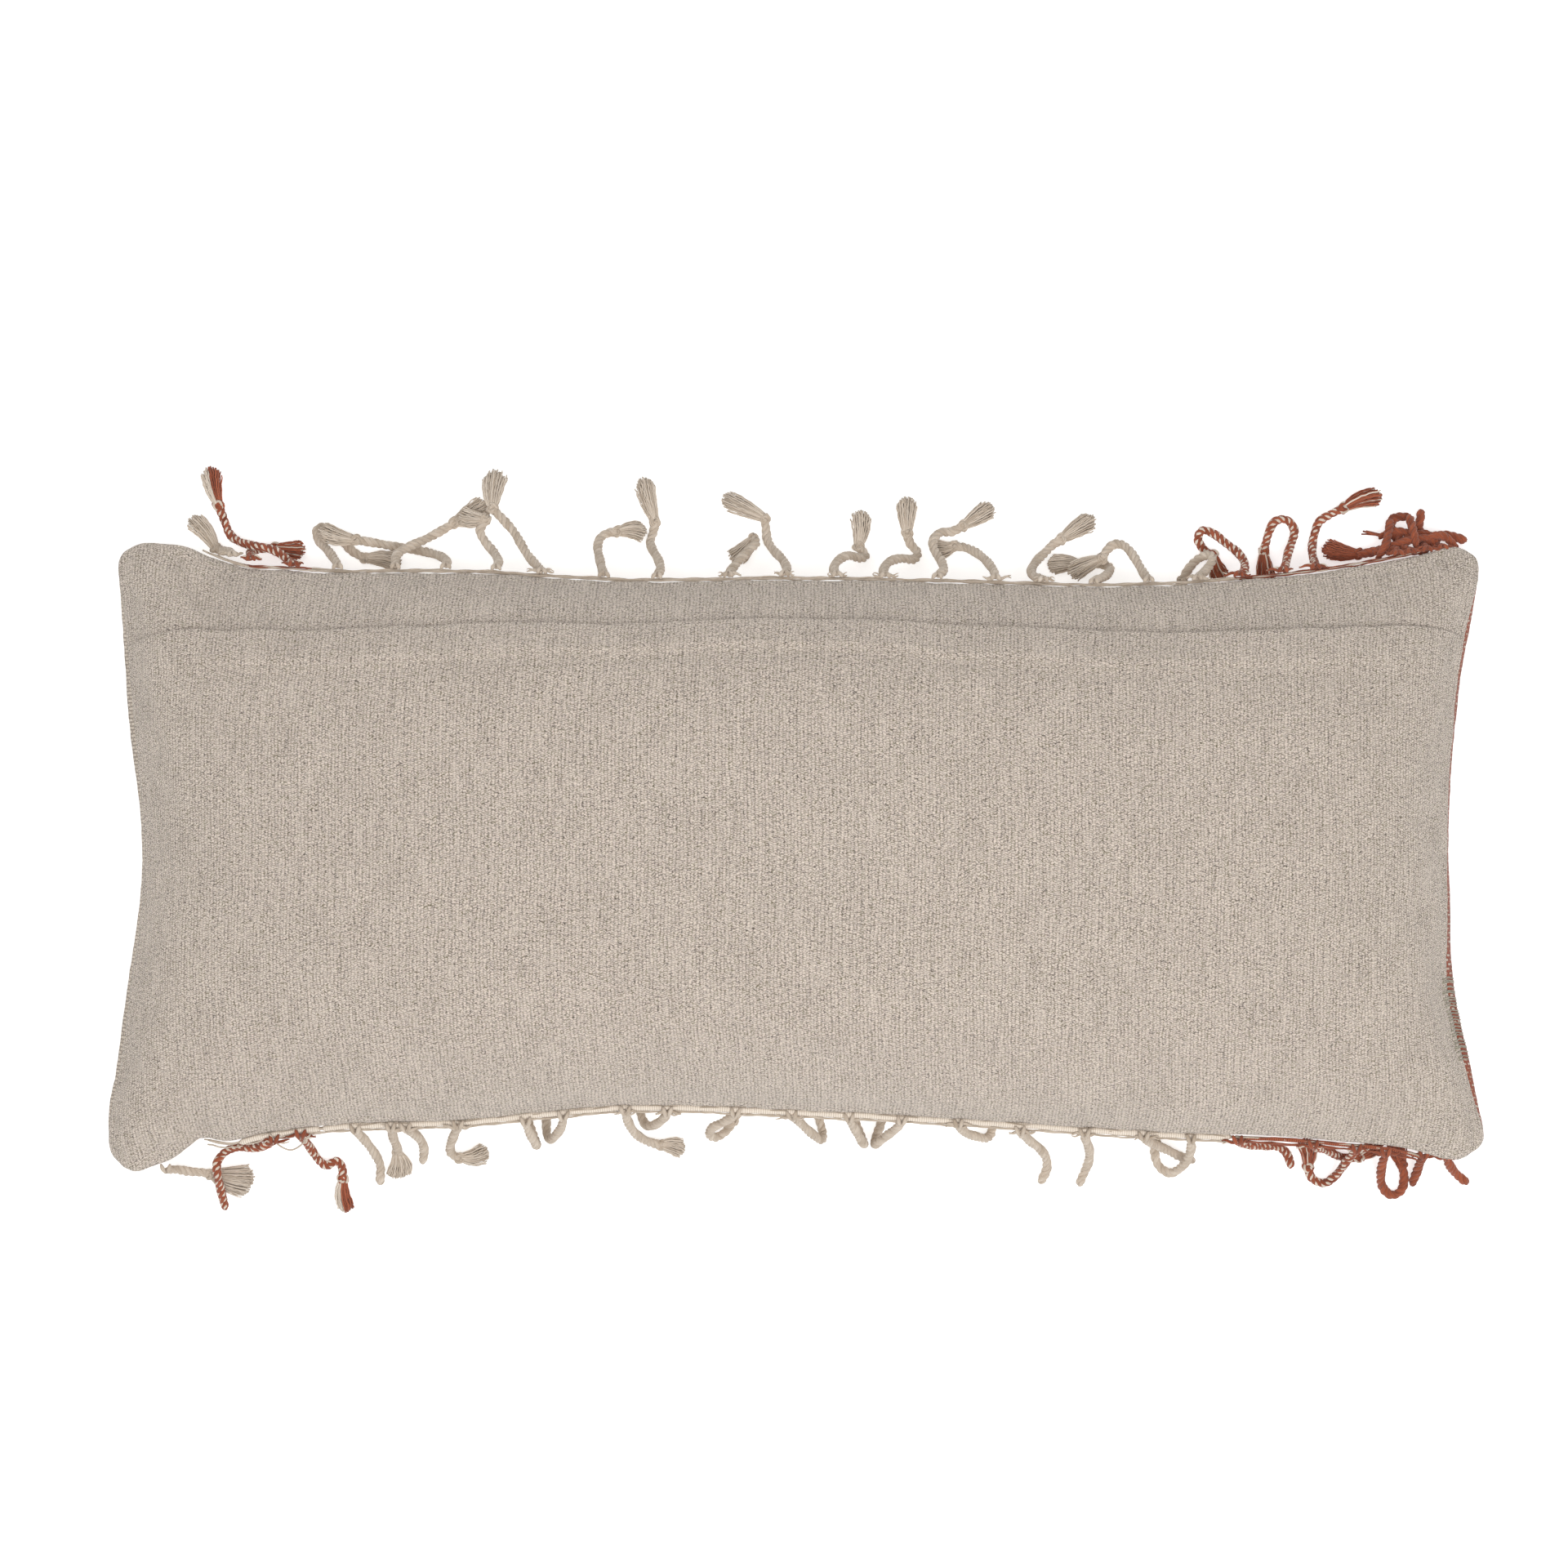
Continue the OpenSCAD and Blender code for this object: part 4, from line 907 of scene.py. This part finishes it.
def surface(side, u, v, height=0.0):
    """The cloth's outer face with its seam groove, puckers and creases."""
    long_side, short_side, p = seam_distance(side, u, v)
    n = skin_normal(side, u, v)
    x, y = plan(u, v)
    near = np.minimum(long_side, short_side)
    seed = 1 if side == "back" else 3
    pucker = 0.75 * ripple(x, seed) * np.exp(-long_side / 11) * (1 - np.exp(-((long_side / 2) ** 2)))
    pucker += 0.6 * ripple(y, seed + 1) * np.exp(-short_side / 10) * (1 - np.exp(-((short_side / 2) ** 2)))
    roll = 0.5 * ripple(x * 0.35 + y * 0.2, seed + 7, (13, 29, 41)) * np.exp(-near / 45)
    dent = 0
    if side == "back":
        for (x0, y0), (x1, y1), depth, width in CREASES:
            dx, dy = x1 - x0, y1 - y0
            reach = dx * dx + dy * dy
            t = np.clip(((x - x0) * dx + (y - y0) * dy) / reach, 0, 1)
            away = np.hypot(x - x0 - t * dx, y - y0 - t * dy)
            fade = 0.35 + 0.65 * np.sin(np.pi * np.clip(t, 0.05, 0.95))
            dent = dent - depth * np.exp(-((away / width) ** 2)) * fade
    held = 1 - np.exp(-((near / 2.2) ** 2))
    p = p + n * (held * (height + pucker + roll + dent))[..., None]
    level = np.stack([n[..., 0], n[..., 1], np.zeros_like(n[..., 0])], -1)
    p = p - unit(level) * (0.9 * np.exp(-((near / 1.5) ** 2)))[..., None]
    gu, gv = spread(u, v)
    shift_seams(p, u, v)
    corner = CORNER_SOFT * np.abs(gu * gv) ** 26
    p[..., 0] -= np.sign(gu) * corner
    p[..., 1] -= np.sign(gv) * corner
    if side == "front":
        swell = np.where(gu > 0, station(PEEK_RIGHT, (gv + 1) / 2), station(PEEK_LEFT, (gv + 1) / 2))
        swell = swell * (short_side / 6) * np.exp(1 - short_side / 6) * (1 - np.abs(gv) ** 6)
        p[..., 0] += np.sign(gu) * swell * (short_side < 60)
        p[..., 2] = np.maximum(p[..., 2], 0)
    return p, n


def from_middle(p, axis):
    """Distances along one way of a grid of points, from its middle row."""
    steps = np.linalg.norm(np.diff(p, axis=axis), axis=-1)
    far = np.cumsum(np.insert(steps, 0, 0, axis), axis)
    return far - np.take(far, [p.shape[axis] // 2], axis)


def cloth_field(p):
    """Distances along the cloth from its middle, in mm, which the weave follows."""
    across, along = from_middle(p, 0), from_middle(p, 1)
    return np.stack([across, along, np.zeros_like(across)], -1).reshape(-1, 3)


def add_cloth(build, p, flip=False, field=None):
    """A grid of points as one sheet of cloth."""
    index = np.arange(p.shape[0] * p.shape[1]).reshape(p.shape[:2])
    build.add(p.reshape(-1, 3), quads(index, flip), cloth_field(p) if field is None else field)


U_LINES = np.sin(np.linspace(-1, 1, 261) * np.pi / 2) * 0.35 + np.linspace(-1, 1, 261) * 0.65


def make_back_main():
    """The main back panel: up to the fold, round it, and back under itself as the facing."""
    near_seam, middle = np.linspace(0, 0.06, 16), np.linspace(0.06, 0.9, 84)
    rows = np.concatenate([near_seam[:-1], middle[:-1], np.linspace(0.9, 1, 34)])
    u, w = np.meshgrid(U_LINES, rows, indexing="ij")
    v = -1 + (fold_at(u) + 1) * w
    outer, n = surface("back", u, v, lap_height(u, v))
    forward = unit(outer[:, -1:] - outer[:, -3:-2])
    up = unit(n[:, -1:] - np.sum(n[:, -1:] * forward, -1, keepdims=True) * forward)
    a = np.linspace(0, np.pi, 9)[1:]
    turned = np.cos(a)[None, :, None] * up + np.sin(a)[None, :, None] * forward
    arc = outer[:, -1:] - CLOTH * up + CLOTH * turned
    under = outer[:, -4:-26:-2] - 2 * CLOTH * n[:, -4:-26:-2]
    p = np.concatenate([outer, arc, under], 1)
    build = Build()
    add_cloth(build, p)
    piece = build.piece("cover_back_main", [back_weave], slot="back_cloth")
    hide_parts("back_panel_main", "placket_facing")


# The weave of the upper back panel, a separate cloth, does not carry on from the main one's: its shift in mm
UPPER_SHIFT = np.array([0.7, 210.3, 0])


def make_back_upper():
    """The upper back panel, whose hemmed edge lies under the lap."""
    rows = np.concatenate([np.linspace(0, 0.88, 44)[:-1], np.linspace(0.88, 1, 18)])
    u, w = np.meshgrid(U_LINES, rows, indexing="ij")
    hem = fold_at(u) - UNDERLAP
    v = hem + (1 - hem) * w
    sink = -STRIP_SINK_SEEN * ease((1 - v) / 0.2)
    p, n = surface("back", u, v, sink)
    hemmed = p[:, :1] - CLOTH * n[:, :1]
    p = np.concatenate([hemmed, p], 1)
    build = Build()
    add_cloth(build, p, field=cloth_field(p) + UPPER_SHIFT)
    piece = build.piece("cover_back_upper", [back_weave], slot="back_cloth")
    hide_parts("back_panel_upper")


def make_front():
    """The striped front panel, in one piece."""

    def lines(fine, edge_count, count):
        """Even lines, closer together past fine at both ends."""
        edge, middle = np.linspace(fine, 1, edge_count), np.linspace(-fine, fine, count)
        return np.concatenate([np.linspace(-1, -fine, edge_count)[:-1], middle[:-1], edge])

    u, v = np.meshgrid(lines(0.93, 20, 220), lines(0.9, 14, 84), indexing="ij")
    p, _ = surface("front", u, v)
    build = Build()
    add_cloth(build, p, flip=True)
    piece = build.piece("cover_front", [front_weave], slot="front_cloth")
    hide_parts("front_panel")


make_back_main()
make_back_upper()
make_front()

# ---------------------------------------------------------------- stitching

STITCH_LENGTH, STITCH_GAP, STITCH_BOW = 3.0, 1.3, 0.25
STITCHING_REACH = 405.0
OVERCAST_V, OVERCAST_STITCHES = (-0.68, -0.41), 26


def stitch(build, path, radius):
    """One stitch that bows up in its middle."""
    path = np.array(path, float)
    bow = np.sin(np.linspace(0, np.pi, len(path)))
    path[:, 2] += STITCH_BOW * bow
    tube(build, path, radius * (0.55 + 0.45 * bow), 5, 0, tone=rng.uniform(-0.15, 0.05))


def back_line(u, v):
    """Points on the back's outer face, for threads that lie on it."""
    return surface("back", u, v, np.where(v < fold_at(u) + 0.001, lap_height(u, v), 0))


def make_stitching():
    """The line of stitches along the lap, and a bar tack at each end of the zip."""
    build = Build()
    u_of_x = np.linspace(-1, 1, 2001)
    x_of_u, _ = plan(u_of_x, stitch_at(u_of_x))
    starts = np.arange(-STITCHING_REACH, STITCHING_REACH, STITCH_LENGTH + STITCH_GAP)
    t = np.linspace(0, 1, 5)
    x = starts[:, None] + STITCH_LENGTH * t[None]
    u = np.interp(x, x_of_u, u_of_x)
    p, n = back_line(u, stitch_at(u) + 0.0035 * np.sin(x / 17))
    for line, up in zip(p, n):
        stitch(build, line - 0.05 * up, 0.42)
    for end in (-1, 1):
        u0 = end * (ZIP_END_U + 0.006)
        for k in range(9):
            v0, v1 = stitch_at(np.array(u0)), fold_at(np.array(u0)) - 0.006
            v = mix(v0, v1, (k + np.linspace(0.05, 0.85, 5)) / 9)
            p, n = back_line(np.full(5, u0) + 0.0012 * (k % 2), v)
            stitch(build, p - 0.1 * n, 0.5)
    build.piece("closure_stitching", [sewing_thread], slot="back_cloth")


def make_overcast():
    """A short ladder of whip stitches over the right-hand seam."""
    build = Build()
    for v in np.linspace(*OVERCAST_V, OVERCAST_STITCHES):
        v = v + rng.uniform(-0.004, 0.004)
        up_u, down_u = np.linspace(0.984, 1, 5), np.linspace(1, 0.99, 4)[1:]
        top, n = surface("back", up_u, np.full(5, v))
        low, m = surface("front", down_u, np.full(3, v - 0.004))
        p = np.concatenate([top + 0.25 * n, low + 0.25 * m])
        tube(build, p, 0.38 + 0.1 * rng.uniform(0, 1), 5, 0, tone=rng.uniform(-0.2, 0.15))
    build.piece("seam_overcasting", [overcast_thread], slot="back_cloth")


make_stitching()
make_overcast()

# ---------------------------------------------------------------- fringe headers

# Where the header changes, from the left: its end, two colours, cream, rust, and its other end
HEADER_ENDS = (-398, -372, -316, 290, 420)
# A loose loop of thread hanging from the lower header
LOOSE_LOOP = [(-350, -184, 36), (-345, -191, 33), (-337, -195, 31), (-329, -191, 34), (-323, -184, 37)]


def seam_line(side, u, out, up):
    """Points a distance outside the seam of a long side, and above it."""
    x, y = plan(u, np.full_like(u, side))
    z = seam_z(u, np.full_like(u, side))
    y = y + drift(RISES, x, side)
    slope = np.gradient(y, x)
    across = unit(np.stack([-slope * side, np.full_like(u, side), np.zeros_like(u)], -1))
    p = np.stack([x, y, z], -1) + across * np.asarray(out)[..., None]
    p[:, 2] += up
    return p


def u_between(side, x0, x1, step):
    """Cloth coordinates at even steps along a long side."""
    u = np.linspace(-1, 1, 4001)
    x, _ = plan(u, np.full_like(u, side))
    count = max(int((x1 - x0) / step), 4)
    return np.interp(np.linspace(x0, x1, count), x, u)


def make_header(side, name, node, rolled):
    """Loose threads along a seam, and on the lower side the rolled edge of the header."""
    build = Build()
    start, mixed, cream, rust, end = HEADER_ENDS
    threads = [
        (start, mixed + 8, [0, 0, 0]), (mixed, cream, [0, 1, 0, 1]),
        (cream - 12, rust + 12, [0, 0, 0, 0]), (rust, end, [1, 0, 1, 1]),
    ]
    for x0, x1, slots in threads:
        for k, slot in enumerate(slots):
            u = u_between(side, x0 + rng.uniform(0, 6), x1 - rng.uniform(0, 6), 3.0)
            x = np.linspace(x0, x1, len(u))
            out = 0.5 + 0.45 * k + 0.55 * ripple(x, 20 + 4 * k + (side > 0), (17, 37, 61))
            up = 0.9 - 0.5 * k + 0.7 * ripple(x, 50 + 4 * k + (side > 0), (23, 41, 71))
            path = seam_line(side, u, out + (2.4 if rolled and k > 1 else 0), up)
            tube(build, path, 0.5 + 0.12 * (k % 2), 6, slot, tone=rng.uniform(-0.1, 0.05))
    if rolled:
        for x0, x1, slot in ((mixed, cream, 2), (cream, rust, 2), (rust, end, 3)):
            u = u_between(side, x0, x1, 2.5)
            x = np.linspace(x0, x1, len(u))
            radius = (1.3 if slot == 3 else 2.1) + 0.18 * ripple(x, 80, (13, 27, 49))
            radius[[0, -1]] *= 0.4
            tube(build, seam_line(side, u, 1.2 + 0.2 * ripple(x, 81, (31, 57)), -0.4), radius, 14, slot)
        tube(build, smooth_path(LOOSE_LOOP, 1.5), 0.55, 6, 0)
    piece = build.piece(name, [cream_yarn, rust_yarn, header_band, header_band_rust], slot="cord_cream")
    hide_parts(node)


def ribbed(name, light, dark, pitch):
    """A narrow woven roll: fine ribs across it."""
    g = Graph(name)
    field = g.field()
    along = g.node("SeparateXYZ", {0: field}).outputs[0]
    fibres = g.noise(g.vector("MULTIPLY", field, (1, 2, 2)), 0.9, 3, 0.6).outputs["Fac"]
    turn = g.math("MULTIPLY", along, 2 * math.pi / pitch)
    wave = g.math("SINE", g.math("ADD", turn, g.math("MULTIPLY", fibres, 3.0)))
    height = g.math("ADD", g.math("MULTIPLY", wave, 0.5), fibres)
    color = g.mixed(g.ranged(height, -0.1, 0.9, 0.0, 1.0), dark, light)
    return g.finish(color, height, 0.9, 0.5, 0.0003, sheen=0.2)


header_band = ribbed("header_band", rgb(234, 223, 209), rgb(200, 185, 168), 1.5)
header_band_rust = ribbed("header_band_rust", RUST, RUST_DARK, 1.5)
make_header(1, "header_top_threads", "fringe_header_top", False)
make_header(-1, "header_bottom_roll", "fringe_header_bottom", True)

# ---------------------------------------------------------------- inside the cover

ZIP_V, ZIP_GROOVE, ZIP_GROOVE_SPREAD, INSERT_INSET = 0.664, 17, 0.09, 5


def insert_depth(u, v):
    """How far the insert's back lies inside the cover's. It gives way to the zip."""
    groove = ZIP_GROOVE * np.exp(-(((v - ZIP_V) / ZIP_GROOVE_SPREAD) ** 2))
    return INSERT_INSET + groove * np.clip((1 - np.abs(u)) / 0.06, 0, 1)


def plain_cloth(name, light, dark, thread_pitch):
    """Fine even cotton."""
    g = Graph(name)
    field = g.field()
    split = g.node("SeparateXYZ", {0: field})
    turn = 2 * math.pi / thread_pitch
    warp, weft = (g.math("SINE", g.math("MULTIPLY", split.outputs[k], turn)) for k in (0, 1))
    wave = g.math("MULTIPLY", warp, weft)
    fuzz = g.noise(field, 0.8, 3).outputs["Fac"]
    height = g.math("ADD", g.math("MULTIPLY", wave, 0.4), fuzz)
    color = g.mixed(g.ranged(height, 0.1, 0.9, 0.0, 1.0), dark, light)
    return g.finish(color, height, 0.9, 0.4, 0.0002)


def make_inside():
    """The insert's two ticking panels and its filling, a little inside the cover."""
    ticking = plain_cloth("ticking", rgb(236, 233, 226), rgb(206, 202, 194), 0.9)
    fibre = plain_cloth("loose_fibre", rgb(246, 245, 242), rgb(214, 213, 210), 5.0)
    u, v = np.meshgrid(np.linspace(-1, 1, 111), np.linspace(-1, 1, 67), indexing="ij")
    x, y = plan(u, v)
    wrinkle = 0.5 * ripple(x + 0.4 * y, 30, (31, 47, 83)) * (1 - np.abs(u) ** 8) * (1 - np.abs(v) ** 8)
    deep = 2.5 * (1 - np.abs(u) ** 6) * (1 - np.abs(v) ** 6)
    for side, node in (("back", "insert_ticking_back"), ("front", "insert_ticking_front")):
        if side == "back":
            p = back_point(u, v, insert_depth(u, v)) + sampled(BACK_MOVE, u, v)
            p[..., 2] -= np.abs(wrinkle) + deep
        else:
            p = front_point(u, v, INSERT_INSET) + sampled(FRONT_MOVE, u, v)
            p[..., 2] = np.maximum(p[..., 2] + np.abs(wrinkle), INSERT_INSET)
        shift_seams(p, u, v)
        build = Build()
        add_cloth(build, p, flip=side == "front")
        piece = build.piece("insert_" + side, [ticking], slot="ticking")
        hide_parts(node)
    build = Build()
    reach = 0.97
    for side, flip in (("back", False), ("front", True)):
        a, b = u * reach, v * reach
        depth = insert_depth(a, b) + 3.2 if side == "back" else INSERT_INSET + 3.2
        move = sampled(BACK_MOVE if side == "back" else FRONT_MOVE, a, b)
        p = (back_point if side == "back" else front_point)(a, b, depth) + move
        p[..., 2] = np.maximum(p[..., 2] - deep * (side == "back"), INSERT_INSET + 3)
        lumps = 1.2 * ripple(p[..., 0] * 0.6 + 31 * np.sin(p[..., 1] / 37), 40, (23, 37, 61))
        lumps = np.abs(lumps * ripple(p[..., 1], 41, (19, 43, 71)))
        p[..., 2] += -lumps if side == "back" else lumps
        shift_seams(p, a, b)
        add_cloth(build, p, flip)
    piece = build.piece("filling_mass", [fibre], slot="filling")
    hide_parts("fill_core")


make_inside()


def solid_finish(name, light, dark, scale, roughness, metallic, stretch=(1, 1, 1)):
    """Metal, nylon or tape on the CAD's own parts, from places in mm."""
    g = Graph(name)
    place = g.vector("MULTIPLY", g.node("TexCoord").outputs["Object"], tuple(1000 * k for k in stretch))
    grain = g.noise(place, scale, 4, 0.6).outputs["Fac"]
    color = g.mixed(g.ranged(grain, 0.3, 0.7, 0.0, 1.0), dark, light)
    return g.finish(color, grain, roughness, 0.3, 0.0001, sheen=0.0, metallic=metallic)


zip_metal = solid_finish("zip_metal", rgb(206, 206, 204), rgb(150, 150, 150), 0.9, 0.32, 1.0, (0.2, 3, 3))
zip_nylon = solid_finish("zip_nylon", rgb(205, 196, 180), rgb(150, 140, 124), 0.8, 0.4, 0.0, (1.6, 0.1, 0.1))
zip_cotton = solid_finish("zip_cotton", rgb(208, 198, 184), rgb(170, 160, 146), 1.4, 0.85, 0.0, (1, 1, 1))
for material, nodes in (
    (zip_metal, ("zip_slider", "pull_tab", "zip_stop_closed", "zip_stop_open")),
    (zip_nylon, ("zip_coil_upper", "zip_coil_lower")),
    (zip_cotton, ("zip_tape_upper", "zip_tape_lower")),
):
    for node in nodes:
        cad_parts[node].data.materials.clear()
        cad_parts[node].data.materials.append(material)

# ---------------------------------------------------------------- floor and light


def make_stage():
    """A plain pale floor, lit a little from within so that shadows stay soft."""
    mesh = bpy.data.meshes.new("floor")
    reach, level = 40.0, -0.0004
    corners = [(sx * reach, sy * reach, level) for sx, sy in ((-1, -1), (1, -1), (1, 1), (-1, 1))]
    mesh.from_pydata(corners, [], [(0, 1, 2, 3)])
    floor = bpy.data.objects.new("floor", mesh)
    bpy.context.scene.collection.objects.link(floor)
    g = Graph("floor")
    g.shader.inputs["Base Color"].default_value = (0.78, 0.78, 0.775, 1)
    g.shader.inputs["Roughness"].default_value = 0.9
    g.shader.inputs["Specular IOR Level"].default_value = 0.1
    g.shader.inputs["Emission Color"].default_value = (1, 1, 1, 1)
    g.shader.inputs["Emission Strength"].default_value = 0.55
    mesh.materials.append(g.material)


def make_light(name, at, size, power):
    """A square lamp aimed at the middle of the floor."""
    data = bpy.data.lights.new(name, "AREA")
    data.shape, data.size, data.energy = "SQUARE", size, power
    light = bpy.data.objects.new(name, data)
    light.location = at
    away = -np.array(at, float)
    tilt = math.acos(-away[2] / np.linalg.norm(away))
    light.rotation_euler = (tilt, 0, math.atan2(away[1], away[0]) - math.pi / 2)
    bpy.context.scene.collection.objects.link(light)


make_stage()
make_light("key", (0.8, -1.05, 3.1), 1.8, 62)
make_light("fill", (-1.0, 0.3, 3.2), 2.6, 38)
world = bpy.data.worlds.new("studio")
bpy.context.scene.world = world
world.use_nodes = True
sky = world.node_tree.nodes["Background"]
sky.inputs["Color"].default_value = (1, 1, 1, 1)
sky.inputs["Strength"].default_value = 0.42
bpy.context.scene.view_settings.view_transform = "Standard"
